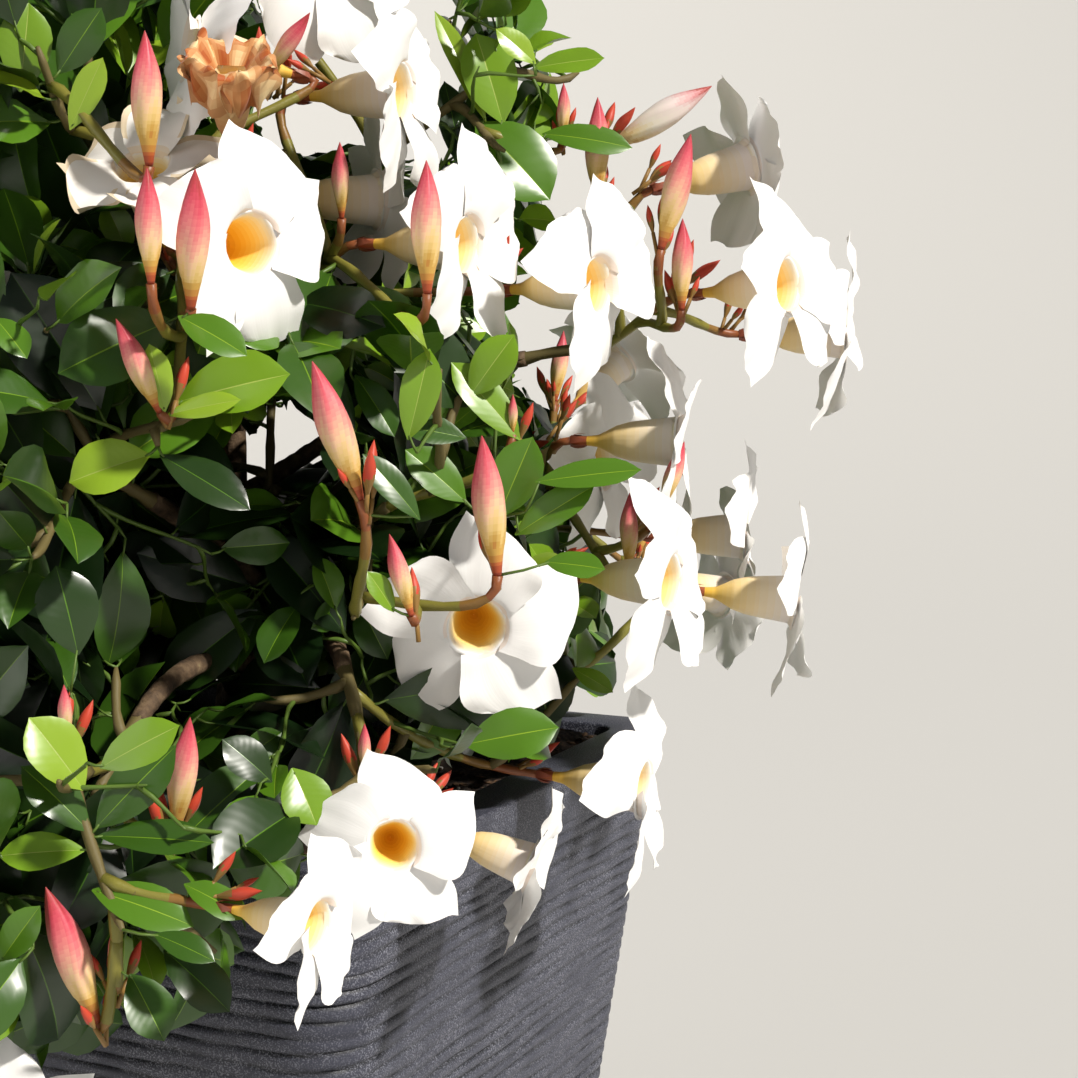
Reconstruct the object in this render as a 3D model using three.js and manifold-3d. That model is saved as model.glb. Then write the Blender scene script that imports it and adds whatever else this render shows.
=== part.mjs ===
// Potted mandevilla: a square tapered planter, its soil, five woody stems,
// boughs, and masses of foliage carrying white trumpet blooms and pointed buds.
// Millimetres, +Z up, origin at the middle of the planter's flat underside.
import * as THREE from 'three';
import { mergeVertices } from 'three/addons/utils/BufferGeometryUtils.js';
import Module from 'manifold-3d';

const wasm = await Module();
wasm.setup();

// planter
const planter = {
  height: 340, topSide: 380, baseSide: 290,
  cornerRadius: 34, footCorner: 27, wellCorner: 16, cornerSteps: 3,
  bandHeight: 28, bandProud: 2,
  ledge: 28, floorThick: 10, wallThickAtFoot: 7,
};
const soilDrop = 12;
const clearance = 0.3;

// the plant faces 25.2 degrees round from the planter's sides
const plantTurn = THREE.MathUtils.degToRad(25.2);

// sizes of leaf, bloom, bud and twig; all of them a little larger than life
const leafSize = {
  length: 66, width: 38, root: 3, widest: 0.46, fold: 3, droop: 5, bare: 9, thick: 1.3,
};
const bloomSize = {
  radius: 43, tube: 54, tubeBelly: 8.5, throat: 11, throatDepth: 16, lobes: 5, thick: 1.5,
};
const budSize = { girth: 6.2, leastGirth: 2.2, girthPerLength: 0.115 };
const twigSize = { stem: 3.8, socket: 1.1, shoot: 2.6, tip: 2, pedicel: 2.2 };
// a bloom's lobes: share of the radius at shoulder and point, and how far round each sits
const lobeShape = { shoulder: 0.88, shoulderTurn: 0.12, pointTurn: 0.8, rise: 4, dip: 3 };

// rule by which a mass grows
const rule = {
  leafSpacing: 23, leafPairs: 3, smallLeaf: 0.72,
  nodeSpacing: 13, bareEnd: 24, longShoot: 70, siteSpacing: 22,
  shootMargin: 3, leafMargin: 1.5, bloomMargin: 10,
  planterGap: 3, limbGap: 2.5, budLength: 44,
};
// what makes a node a worse start for a shoot
const startCost = { perLength: 0.3, perShoot: 16, backward: 25, blocked: 200 };

// woody stems: foot and tip as across, up above the rim, front
const stemSize = { radius: 8.5, taper: 0.42, flare: 5, flareReach: 14, sides: 6, steps: 5 };
const stems = {
  front: { foot: [24, 32], tip: [58, 108, 108] },
  right: { foot: [48, -4], tip: [122, 100, 30] },
  left: { foot: [-34, 22], tip: [-104, 112, 58] },
  back: { foot: [-6, -42], tip: [-14, 104, -112] },
  middle: { foot: [4, -4], tip: [8, 262, 8] },
};

const boughSize = { radius: 5, tip: 4.3, sides: 4, steps: 3, short: 44, archAt: 0.55 };

// masses of foliage. hub and reach set the space that a mass fills; blooms are
// [across, up, front, turn, lift], buds the same with a length, tips are leafy ends
const masses = [
  { name: 'front_mid', from: 'front', at: 1, hub: [100, 150, 165], reach: 82, shoots: 5,
    blooms: [[142, 98, 190, 5, -4]],
    buds: [[149, 157, 240, -50, 82, 60], [112, 129, 250, -70, 75, 36], [88, 190, 270, -60, 70, 60],
      [158, 193, 180, 0, 85, 18]],
    tips: [[128, 214, 230], [180, 166, 160], [88, 104, 240]] },
  { name: 'front_low', from: 'front', at: 0.72, arch: 40, hub: [92, 46, 205], reach: 66, shoots: 5,
    blooms: [[111, 23, 285, 8, 5, 'small'], [166, -2, 225, 82, -20, 'small'], [221, 10, 130, 72, -4]],
    buds: [[94, 49, 222, 0, 85, 24]],
    tips: [[75, 40, 275], [190, 62, 110]] },
  { name: 'near_low', from: 'front', at: 0.56, arch: 50, hub: [-14, 38, 262], reach: 78, shoots: 4,
    blooms: [[86, 5, 336, 68, -4, 'small']],
    buds: [[-17, 80, 300, 0, 85, 24], [27, 53, 290, 50, 78, 50], [-14, -14, 312, -70, 72, 60],
      [3, -14, 312, 0, 85, 24]],
    tips: [[-13, 60, 330], [10, 2, 330], [46, -20, 300], [20, -44, 292]] },
  { name: 'front_upper', from: 'middle', at: 0.7, arch: 20, hub: [60, 250, 134], reach: 76, shoots: 5,
    blooms: [[108, 338, 150, 70, 0], [138, 268, 170, 68, -2], [93, 292, 110, 110, 0], [198, 251, 150, 62, 2],
      [51, 266, 240, 45, 0], [-1, 301, 205, -10, 50, 'ageing']],
    buds: [[123, 273, 235, 0, 88, 55], [29, 267, 255, 20, 75, 56], [17, 271, 285, 0, 85, 45],
      [7, 216, 262, -60, 65, 42], [81, 297, 170, 0, 80, 34]] },
  { name: 'left_hanging', from: 'left', at: 0.62, arch: 75, hub: [-112, -2, 240], reach: 74, shoots: 6,
    blooms: [[-53, -98, 300, 0, 4]], spare: 1,
    tips: [[-90, -50, 290], [-140, -60, 260]] },
  { name: 'front_left', from: 'front', at: 0.82, arch: 10, hub: [-30, 172, 205], reach: 84, shoots: 7,
    tips: [[-5, 186, 290], [40, 204, 250], [-48, 250, 225], [-35, 139, 275]] },
  { name: 'right_mid', from: 'right', at: 1, hub: [176, 142, 44], reach: 76, shoots: 5,
    blooms: [[204, 162, 40, 65, 0], [239, 176, 100, 78, 0], [280, 121, 15, 85, 0]],
    buds: [[234, 161, 118, 60, 70, 35], [213, 134, 120, 0, 85, 38]],
    tips: [[184, 190, 100]] },
  { name: 'right_low', from: 'right', at: 0.62, arch: 20, hub: [176, 68, 70], reach: 66, shoots: 7,
    blooms: [[232, 113, 150, 64, 0], [300, 94, 70, 88, -5]],
    tips: [[205, 60, 100]] },
  { name: 'right_far', from: 'middle', at: 0.55, arch: 24, hub: [206, 222, 34], reach: 50, shoots: 6,
    blooms: [[291, 252, 100, 57, 4], [329, 228, 30, 86, 0], [277, 314, 40, 108, 14]],
    buds: [[199, 320, 60, 0, 88, 52], [230, 336, 60, 80, 30, 60], [235, 296, 110, 70, 75, 56],
      [239, 262, 100, 0, 88, 44]] },
  { name: 'left_mid', from: 'left', at: 1, hub: [-182, 176, 118], reach: 90, shoots: 8, spare: 3 },
  { name: 'left_low', from: 'left', at: 0.76, arch: 30, hub: [-206, 60, 116], reach: 84,
    shoots: 8, spare: 2 },
  { name: 'left_far', from: 'left', at: 0.9, arch: 15, hub: [-226, 150, -30], reach: 92,
    shoots: 7, spare: 2 },
  { name: 'back_mid', from: 'back', at: 1, hub: [40, 150, -200], reach: 92, shoots: 8, spare: 2 },
  { name: 'back_low', from: 'back', at: 0.75, arch: 30, hub: [-60, 40, -224], reach: 84,
    shoots: 7, spare: 2 },
  { name: 'back_right', from: 'back', at: 0.85, arch: 15, hub: [166, 110, -128], reach: 94,
    shoots: 8, spare: 2 },
  { name: 'back_left', from: 'back', at: 0.93, arch: 15, hub: [-150, 136, -150], reach: 96,
    shoots: 8, spare: 3 },
  { name: 'crown_top', from: 'middle', at: 1, hub: [-10, 398, 0], reach: 84, shoots: 9, spare: 2 },
  { name: 'top_right', from: 'middle', at: 0.86, arch: 15, hub: [110, 332, 50], reach: 76, shoots: 5,
    blooms: [[72, 397, 122, 30, 4]],
    buds: [[182, 339, 60, 0, 85, 28]],
    tips: [[150, 363, 70], [158, 317, 90], [125, 384, 60], [190, 362, 30]] },
  { name: 'top_left', from: 'middle', at: 0.8, arch: 15, hub: [-40, 316, 134], reach: 80, shoots: 4,
    blooms: [[40, 339, 220, 10, 55, 'withered'], [16, 353, 180, -68, 10]],
    buds: [[7, 326, 232, 0, 86, 55], [59, 356, 176, 70, 50, 34]],
    tips: [[-44, 356, 215], [-37, 329, 205]] },
  { name: 'left_up', from: 'middle', at: 0.6, arch: 20, hub: [-150, 292, 30], reach: 94,
    shoots: 8, spare: 2 },
  { name: 'back_up', from: 'middle', at: 0.74, arch: 20, hub: [30, 280, -114], reach: 98,
    shoots: 9, spare: 2 },
  { name: 'heart', from: 'middle', at: 0.4, arch: 6, hub: [36, 150, 60], reach: 74, shoots: 8 },
];

const colours = { planter: 0x3a3a42, soil: 0x33271e, bark: 0x6b5a45, foliage: 0x3f6b2a };

const up = new THREE.Vector3(0, 0, 1);
const core = spot(0, 170, 0);

function spot(across, above, front) {
  const c = Math.cos(plantTurn);
  const s = Math.sin(plantTurn);
  return new THREE.Vector3(across * c + front * s, across * s - front * c, planter.height + above);
}

function facing(turn, lift) {
  const t = THREE.MathUtils.degToRad(turn);
  const l = THREE.MathUtils.degToRad(lift);
  const flat = Math.cos(l);
  return spot(Math.sin(t) * flat, Math.sin(l) - planter.height, Math.cos(t) * flat);
}

// even, repeatable numbers from 0 to 1
function seeded(seed) {
  let state = seed;
  return () => {
    state = (state * 16807) % 2147483647;
    return state / 2147483647;
  };
}

function solidFrom(points, faces) {
  const geometry = new THREE.BufferGeometry();
  const numbers = points.flatMap((p) => [p.x, p.y, p.z]);
  geometry.setAttribute('position', new THREE.Float32BufferAttribute(numbers, 3));
  geometry.setIndex(faces.flat());
  return geometry;
}

function toManifold(geometry) {
  const plain = new THREE.BufferGeometry();
  plain.setAttribute('position', geometry.getAttribute('position'));
  if (geometry.index) plain.setIndex(geometry.index);
  const merged = mergeVertices(plain, 1e-4);
  return new wasm.Manifold(new wasm.Mesh({
    numProp: 3,
    vertProperties: new Float32Array(merged.getAttribute('position').array),
    triVerts: new Uint32Array(merged.index.array),
  }));
}

function toGeometry(solid) {
  const mesh = solid.getMesh();
  const geometry = new THREE.BufferGeometry();
  const numbers = new Float32Array(mesh.vertProperties);
  geometry.setAttribute('position', new THREE.Float32BufferAttribute(numbers, 3));
  geometry.setIndex(new THREE.Uint32BufferAttribute(new Uint32Array(mesh.triVerts), 1));
  return geometry;
}

// closed body through rings of equal count, flat at both ends
function loft(rings) {
  const count = rings[0].length;
  const points = rings.flat();
  const faces = [];
  for (let r = 0; r + 1 < rings.length; r += 1) {
    for (let i = 0; i < count; i += 1) {
      const a = r * count + i;
      const b = r * count + ((i + 1) % count);
      faces.push([a, b, b + count], [a, b + count, a + count]);
    }
  }
  const last = (rings.length - 1) * count;
  for (let i = 1; i + 1 < count; i += 1) {
    faces.push([0, i + 1, i], [last, last + i, last + i + 1]);
  }
  return solidFrom(points, faces);
}

function sideOf(direction) {
  const guess = Math.abs(direction.z) > 0.9 ? new THREE.Vector3(1, 0, 0) : up;
  return new THREE.Vector3().crossVectors(direction, guess).normalize();
}

// tapering limb along a path
function limb(path, radii, sides) {
  const rings = [];
  let side = null;
  path.forEach((p, k) => {
    const before = path[Math.max(k - 1, 0)];
    const after = path[Math.min(k + 1, path.length - 1)];
    const along = after.clone().sub(before).normalize();
    side = side ? side.clone().addScaledVector(along, -side.dot(along)).normalize() : sideOf(along);
    const other = new THREE.Vector3().crossVectors(along, side);
    rings.push(Array.from({ length: sides }, (_, i) => {
      const angle = (2 * Math.PI * i) / sides;
      return p.clone()
        .addScaledVector(side, Math.cos(angle) * radii[k])
        .addScaledVector(other, Math.sin(angle) * radii[k]);
    }));
  });
  return loft(rings);
}

function bend(start, startDirection, end, endDirection, steps) {
  const pull = start.distanceTo(end) / 3;
  const curve = new THREE.CubicBezierCurve3(
    start,
    start.clone().addScaledVector(startDirection, pull),
    end.clone().addScaledVector(endDirection, -pull),
    end,
  );
  return Array.from({ length: steps + 1 }, (_, i) => curve.getPoint(i / steps));
}

// planter
function squareRing(half, radius, z) {
  const ring = [];
  for (let corner = 0; corner < 4; corner += 1) {
    const middle = Math.PI / 4 + (corner * Math.PI) / 2;
    const cx = Math.sign(Math.cos(middle)) * (half - radius);
    const cy = Math.sign(Math.sin(middle)) * (half - radius);
    for (let i = 0; i <= planter.cornerSteps; i += 1) {
      const angle = middle - Math.PI / 4 + (i * Math.PI) / 2 / planter.cornerSteps;
      ring.push(new THREE.Vector3(cx + Math.cos(angle) * radius, cy + Math.sin(angle) * radius, z));
    }
  }
  return ring;
}

function halfAt(z) {
  return (planter.baseSide + (planter.topSide - planter.baseSide) * (z / planter.height)) / 2;
}

function wellHalfAt(z) {
  const foot = planter.baseSide / 2 - planter.wallThickAtFoot;
  const mouth = planter.topSide / 2 - planter.ledge;
  return foot + (mouth - foot) * (z / planter.height);
}

function makePlanter() {
  const { height, bandHeight, bandProud, cornerRadius, footCorner, wellCorner, floorThick } = planter;
  const bandFoot = height - bandHeight;
  const outside = loft([
    squareRing(halfAt(0), footCorner, 0),
    squareRing(halfAt(bandFoot) - bandProud, cornerRadius - bandProud, bandFoot),
    squareRing(halfAt(bandFoot), cornerRadius, bandFoot + bandProud),
    squareRing(halfAt(height), cornerRadius, height),
  ]);
  const above = height + 5;
  const well = loft([
    squareRing(wellHalfAt(floorThick), wellCorner, floorThick),
    squareRing(wellHalfAt(above), wellCorner, above),
  ]);
  return toGeometry(toManifold(outside).subtract(toManifold(well)));
}

function makeSoil() {
  const foot = planter.floorThick + clearance;
  const top = planter.height - soilDrop;
  const corner = planter.wellCorner - clearance;
  return loft([
    squareRing(wellHalfAt(foot) - clearance, corner, foot),
    squareRing(wellHalfAt(top) - clearance, corner, top),
  ]);
}

// limbs
const limbs = [];

function growStem(name, { foot, tip }) {
  const start = spot(foot[0], clearance - soilDrop, foot[1]);
  const end = spot(...tip);
  const away = end.clone().sub(start).normalize();
  const first = away.clone().add(up).normalize();
  const last = away.clone().addScaledVector(up, 0.4).normalize();
  const path = bend(start, first, end, last, stemSize.steps);
  const length = start.distanceTo(end);
  const radii = path.map((_, k) => {
    const t = k / stemSize.steps;
    const flare = stemSize.flare * Math.exp((-t * length) / stemSize.flareReach);
    return stemSize.radius * (1 - stemSize.taper * t) + flare;
  });
  return { name, path, radii, sides: stemSize.sides };
}

// the foot is cut flat at soil level
function flatFoot(geometry, z) {
  const side = planter.topSide;
  const box = new THREE.BoxGeometry(side, side, side).translate(0, 0, z - side / 2);
  return toManifold(geometry).subtract(toManifold(box));
}

function onPath(path, t) {
  const x = Math.min(t, 0.9999) * (path.length - 1);
  const k = Math.floor(x);
  return path[k].clone().lerp(path[k + 1], x - k);
}

function distanceToLimb(point, { path, radii }) {
  let best = Infinity;
  for (let k = 0; k + 1 < path.length; k += 1) {
    const a = path[k];
    const b = path[k + 1];
    const ab = b.clone().sub(a);
    const t = THREE.MathUtils.clamp(point.clone().sub(a).dot(ab) / ab.lengthSq(), 0, 1);
    const radius = THREE.MathUtils.lerp(radii[k], radii[k + 1], t);
    best = Math.min(best, point.distanceTo(ab.multiplyScalar(t).add(a)) - radius);
  }
  return best;
}

function endDirection(path) {
  return path[path.length - 1].clone().sub(path[path.length - 2]).normalize();
}

// a bough leaves its stem and ends short of the hub of its mass
function growBough(mass, stem) {
  const start = onPath(stem.path, mass.at);
  const hub = spot(...mass.hub);
  const arched = start.clone().lerp(hub, boughSize.archAt).addScaledVector(up, mass.arch);
  const inward = hub.clone().sub(arched).normalize();
  const end = hub.clone().addScaledVector(inward, -boughSize.short);
  const first = arched.clone().sub(start).normalize();
  const path = bend(start, first, end, inward, boughSize.steps);
  const { radius, tip, steps, sides } = boughSize;
  const radii = path.map((_, k) => THREE.MathUtils.lerp(radius, tip, k / steps));
  return { name: `bough_${mass.name}`, path, radii, sides, stem };
}

// side directions of a twig, carried along its bends without twisting
function carriedSides(path, roll) {
  const sides = [];
  for (let k = 0; k + 1 < path.length; k += 1) {
    const along = path[k + 1].clone().sub(path[k]).normalize();
    const before = k === 0 ? sideOf(along).applyAxisAngle(along, roll) : sides[k - 1].clone();
    sides.push(before.addScaledVector(along, -before.dot(along)).normalize());
  }
  return sides;
}

function lengthOf(path) {
  return path.slice(1).reduce((sum, p, k) => sum + p.distanceTo(path[k]), 0);
}

// place, direction, sides and radius at a distance along a shoot
function stationAt({ path, radii, sides }, distance) {
  let rest = distance;
  let k = 0;
  while (k + 2 < path.length && rest > path[k].distanceTo(path[k + 1])) {
    rest -= path[k].distanceTo(path[k + 1]);
    k += 1;
  }
  const share = rest / path[k].distanceTo(path[k + 1]);
  const along = path[k + 1].clone().sub(path[k]).normalize();
  const side = sides[k];
  const other = new THREE.Vector3().crossVectors(along, side);
  return {
    p: path[k].clone().lerp(path[k + 1], share), along, side, other,
    radius: THREE.MathUtils.lerp(radii[k], radii[k + 1], share),
  };
}

// leaf corners: left, right and tip of a blade that leaves one face of the twig and
// is turned toward the light; near holds the places where its underside is thickest
function leafCorners(station, face, sides, spread, scale) {
  const { p, along, side, other, radius } = station;
  const angle = (2 * Math.PI * face) / sides;
  const normal = side.clone().multiplyScalar(Math.cos(angle)).addScaledVector(other, Math.sin(angle));
  const root = p.clone().addScaledVector(normal, radius * Math.cos(Math.PI / sides));
  const blade = along.clone().multiplyScalar(Math.cos(spread)).addScaledVector(normal, Math.sin(spread));
  const inner = along.clone().multiplyScalar(Math.sin(spread)).addScaledVector(normal, -Math.cos(spread));
  const right = new THREE.Vector3().crossVectors(along, normal);
  const sky = root.clone().sub(core).normalize().addScaledVector(up, 1.1);
  const twist = THREE.MathUtils.clamp(Math.atan2(sky.dot(right), sky.dot(inner)), -1.2, 1.2);
  const above = inner.multiplyScalar(Math.cos(twist)).addScaledVector(right, Math.sin(twist));
  const across = new THREE.Vector3().crossVectors(above, blade);
  const { length, width, widest, fold, droop, bare, thick } = leafSize;
  const at = (forward, sideways, lift) => root.clone()
    .addScaledVector(blade, forward * scale)
    .addScaledVector(across, sideways * scale)
    .addScaledVector(above, lift * scale);
  return {
    left: at(length * widest, -width / 2, fold),
    right: at(length * widest, width / 2, fold),
    tip: at(length, 0, -droop),
    near: [at(bare, 0, thick), at(bare, 0, -thick), at(length * widest, 0, -thick)],
  };
}

// twig with flat sides; at each node one or two of them grow out into leaves,
// and its end may open into a bloom or swell into a bud
function leafyTwig(shoot) {
  const sides = sidesOf(shoot.kind);
  const total = lengthOf(shoot.path);
  const half = leafSize.root / 2;
  const stops = [{ s: 0 }, { s: total }];
  shoot.nodes.forEach((node) => stops.push({ s: node.s - half, node }, { s: node.s + half }));
  let s = 0;
  for (let k = 1; k + 1 < shoot.path.length; k += 1) {
    s += shoot.path[k].distanceTo(shoot.path[k - 1]);
    const here = s;
    if (shoot.nodes.every((node) => Math.abs(node.s - here) > leafSize.bare)) stops.push({ s });
  }
  stops.sort((a, b) => a.s - b.s);
  const kept = stops.filter((stop, k) => k === 0 || stop.s - stops[k - 1].s > 0.4);
  const points = [];
  const faces = [];
  kept.forEach(({ s: distance }) => {
    const { p, side, other, radius } = stationAt(shoot, distance);
    for (let i = 0; i < sides; i += 1) {
      const angle = ((i - 0.5) * 2 * Math.PI) / sides;
      points.push(p.clone()
        .addScaledVector(side, Math.cos(angle) * radius)
        .addScaledVector(other, Math.sin(angle) * radius));
    }
  });
  const leaves = [];
  for (let r = 0; r + 1 < kept.length; r += 1) {
    for (let i = 0; i < sides; i += 1) {
      const a = r * sides + i;
      const b = r * sides + ((i + 1) % sides);
      const [c, d] = [b + sides, a + sides];
      const leaf = kept[r].node?.leaves.find(({ face }) => face === i);
      if (leaf) leaves.push({ leaf, root: [a, b, c, d] });
      else faces.push([a, b, c], [a, c, d]);
    }
  }
  for (let i = 1; i + 1 < sides; i += 1) faces.push([0, i + 1, i]);
  const last = (kept.length - 1) * sides;
  if (shoot.bloom) openBloom(points, faces, last, shoot.bloom);
  else if (shoot.bud) swellBud(points, faces, last, shoot.bud);
  else closeRing(faces, last, sides);
  leaves.forEach(({ leaf, root: [a, b, c, d] }) => {
    const left = points.push(leaf.left) - 1;
    const right = points.push(leaf.right) - 1;
    const tip = points.push(leaf.tip) - 1;
    faces.push([a, b, tip], [b, right, tip], [b, c, right], [c, tip, right]);
    faces.push([c, d, tip], [d, left, tip], [d, a, left], [a, tip, left]);
  });
  return solidFrom(points, faces);
}

function sidesOf(kind) {
  return { bloom: bloomSize.lobes, bud: 4 }[kind] ?? 3;
}

function closeRing(faces, first, sides) {
  for (let i = 1; i + 1 < sides; i += 1) faces.push([first, first + i, first + i + 1]);
}

// rings that carry on from the last ring of a twig
function carryOn(points, faces, last, sides, rings) {
  let from = last;
  rings.forEach((ring) => {
    const to = points.length;
    points.push(...ring);
    for (let i = 0; i < sides; i += 1) {
      const j = (i + 1) % sides;
      faces.push([from + i, from + j, to + j], [from + i, to + j, to + i]);
    }
    from = to;
  });
  return from;
}

// angles of the last ring of a twig, seen along a new axis
function ringAngle(points, first, middle, axis) {
  const side = sideOf(axis);
  const other = new THREE.Vector3().crossVectors(axis, side);
  const arm = points[first].clone().sub(middle);
  return { side, other, start: Math.atan2(arm.dot(other), arm.dot(side)) };
}

// bloom: a five-sided trumpet opening into five skewed, pointed lobes
const bloomLooks = {
  fresh: { scale: 1, lobe: 1, lean: 0 },
  small: { scale: 0.8, lobe: 0.92, lean: 0.1 },
  ageing: { scale: 0.92, lobe: 0.86, lean: 0.35 },
  withered: { scale: 0.8, lobe: 0.5, lean: 0.9 },
};

function openBloom(points, faces, last, { centre, axis, look }) {
  const b = bloomSize;
  const n = b.lobes;
  const { scale, lobe, lean } = bloomLooks[look];
  const foot = centre.clone().addScaledVector(axis, -b.tube * scale);
  const { side, other, start } = ringAngle(points, last, foot, axis);
  const at = (radius, turns, forward) => {
    const angle = start + (2 * Math.PI * turns) / n;
    return centre.clone()
      .addScaledVector(axis, forward * scale)
      .addScaledVector(side, Math.cos(angle) * radius * scale)
      .addScaledVector(other, Math.sin(angle) * radius * scale);
  };
  const ring = (radius, forward) => Array.from({ length: n }, (_, i) => at(radius, i, forward));
  const back = carryOn(points, faces, last, n, [
    ring(b.tubeBelly, -b.tube * 0.45),
    ring(b.throat, -b.thick),
  ]);
  const front = points.length;
  points.push(...ring(b.throat - b.thick, b.thick));
  const outline = points.length;
  const reach = b.radius * lobe;
  const drawn = reach * (1 - lean * 0.3);
  const { shoulder, shoulderTurn, pointTurn, rise, dip } = lobeShape;
  for (let i = 0; i < n; i += 1) {
    points.push(at(drawn * shoulder, i + shoulderTurn, rise + reach * lean));
    points.push(at(drawn, i + pointTurn, reach * lean - dip));
  }
  const deep = points.push(at(0, 0, -b.throatDepth)) - 1;
  for (let i = 0; i < n; i += 1) {
    const j = (i + 1) % n;
    const edge = outline + 2 * i;
    const point = edge + 1;
    faces.push([back + i, back + j, point], [back + i, point, edge], [back + i, edge, front + i]);
    faces.push([front + i, point, front + j], [front + i, edge, point], [back + j, front + j, point]);
    faces.push([front + i, front + j, deep]);
  }
}

function swellBud(points, faces, last, { middle, axis, length }) {
  const girth = Math.min(budSize.girth, budSize.leastGirth + length * budSize.girthPerLength);
  const foot = middle.clone().addScaledVector(axis, -length / 2);
  const { side, other, start } = ringAngle(points, last, foot, axis);
  const ring = (radius, forward) => Array.from({ length: 4 }, (_, i) => {
    const angle = start + (i * Math.PI) / 2;
    return middle.clone()
      .addScaledVector(axis, forward * length)
      .addScaledVector(side, Math.cos(angle) * radius)
      .addScaledVector(other, Math.sin(angle) * radius);
  });
  const end = carryOn(points, faces, last, 4, [ring(girth, -0.1), ring(girth * 0.12, 0.5)]);
  closeRing(faces, end, 4);
}

function pointsAlong(path, spacing) {
  const points = [];
  for (let k = 0; k + 1 < path.length; k += 1) {
    const length = path[k].distanceTo(path[k + 1]);
    const count = Math.max(1, Math.round(length / spacing));
    for (let i = 1; i <= count; i += 1) points.push(path[k].clone().lerp(path[k + 1], i / count));
  }
  return points;
}

// places that stand for a bloom when something else must keep clear of it
function bloomSpots({ centre, axis, look }) {
  const side = sideOf(axis);
  const other = new THREE.Vector3().crossVectors(axis, side);
  const reach = bloomSize.radius * bloomLooks[look].lobe;
  const spots = [0, 0.35, 0.7, 1].map((t) => (
    { p: centre.clone().addScaledVector(axis, -t * bloomSize.tube), r: 12 - 7 * t }
  ));
  [0.45, 0.85].forEach((share) => {
    for (let i = 0; i < 10; i += 1) {
      const angle = (Math.PI * i) / 5;
      const p = centre.clone()
        .addScaledVector(side, Math.cos(angle) * reach * share)
        .addScaledVector(other, Math.sin(angle) * reach * share);
      spots.push({ p, r: share > 0.5 ? 9 : 12 });
    }
  });
  return spots;
}

// places along every mass's own framework, what shoots keep clear of, and bodies
// already placed, so that a leaf that would cut one is skipped
const sites = [];
const obstacles = [];
const bodies = [];

function owns(index, p, margin) {
  let own = Infinity;
  let other = Infinity;
  for (const site of sites) {
    const d = site.p.distanceTo(p);
    if (site.index === index) own = Math.min(own, d);
    else other = Math.min(other, d);
  }
  return other - own > margin;
}

function inPlanter(p, margin) {
  const half = halfAt(Math.min(p.z, planter.height)) + margin;
  return p.z < planter.height + margin && Math.abs(p.x) < half && Math.abs(p.y) < half;
}

function inOwnSpace(index, p, margin) {
  return owns(index, p, margin) && !inPlanter(p, rule.planterGap)
    && limbs.every((l) => distanceToLimb(p, l) > rule.limbGap);
}

function isClear(index, p, margin) {
  return inOwnSpace(index, p, margin)
    && obstacles.every((o) => o.index === index || o.p.distanceTo(p) > o.r + 2);
}

function isBlocked(index, path) {
  return pointsAlong(path, 6).some((p) => inPlanter(p, rule.planterGap + 2)
    || limbs.some((l) => distanceToLimb(p, l) < rule.limbGap + 1)
    || obstacles.some((o) => o.index !== index && o.p.distanceTo(p) < o.r));
}

// a shoot leaves the node from which it reaches its end by the shortest clear way
function addShoot(plant, end, direction, kind) {
  let best = null;
  plant.nodes.forEach((from) => {
    const away = end.clone().sub(from.p);
    const first = away.clone().normalize().addScaledVector(from.along, 0.5).normalize();
    const path = bend(from.p, first, end, direction, away.length() > rule.longShoot ? 3 : 2);
    const blocked = isBlocked(plant.index, path);
    const cost = away.length() + startCost.perLength * from.length + startCost.perShoot * from.used
      + (away.dot(from.along) < 0 ? startCost.backward : 0) + (blocked ? startCost.blocked : 0);
    if (!best || cost < best.cost) best = { cost, path, from, blocked };
  });
  return { path: best.path, kind, from: best.from, blocked: best.blocked };
}

function keepShoot(plant, shoot, tip) {
  const last = shoot.path.length - 1;
  const base = shoot.kind === 'stem' ? twigSize.stem : twigSize.shoot;
  shoot.radii = shoot.path.map((_, k) => THREE.MathUtils.lerp(base, tip, k / last));
  if (shoot.kind !== 'stem') shoot.radii[0] = twigSize.socket;
  shoot.sides = carriedSides(shoot.path, plant.shoots.length * 0.8);
  shoot.nodes = [];
  shoot.from.used += 1;
  const total = lengthOf(shoot.path);
  const usable = shoot.bloom || shoot.bud ? total - rule.bareEnd : total;
  for (let s = rule.nodeSpacing; s < usable; s += rule.nodeSpacing) {
    const { p, along } = stationAt(shoot, s);
    plant.nodes.push({ p, along, length: shoot.from.length + s, used: 0 });
  }
  plant.shoots.push(shoot);
}

function addBloom(plant, bloom) {
  plant.blooms.push(bloom);
  bloomSpots(bloom).forEach((o) => obstacles.push({ ...o, index: plant.index }));
  const tube = bloomSize.tube * bloomLooks[bloom.look].scale;
  return bloom.centre.clone().addScaledVector(bloom.axis, -tube);
}

function addBud(plant, { middle, axis, length }) {
  plant.buds.push({ middle, axis, length });
  [-0.4, 0, 0.4].forEach((t) => {
    obstacles.push({ p: middle.clone().addScaledVector(axis, t * length), r: 6, index: plant.index });
  });
  return middle.clone().addScaledVector(axis, -length / 2);
}

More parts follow.
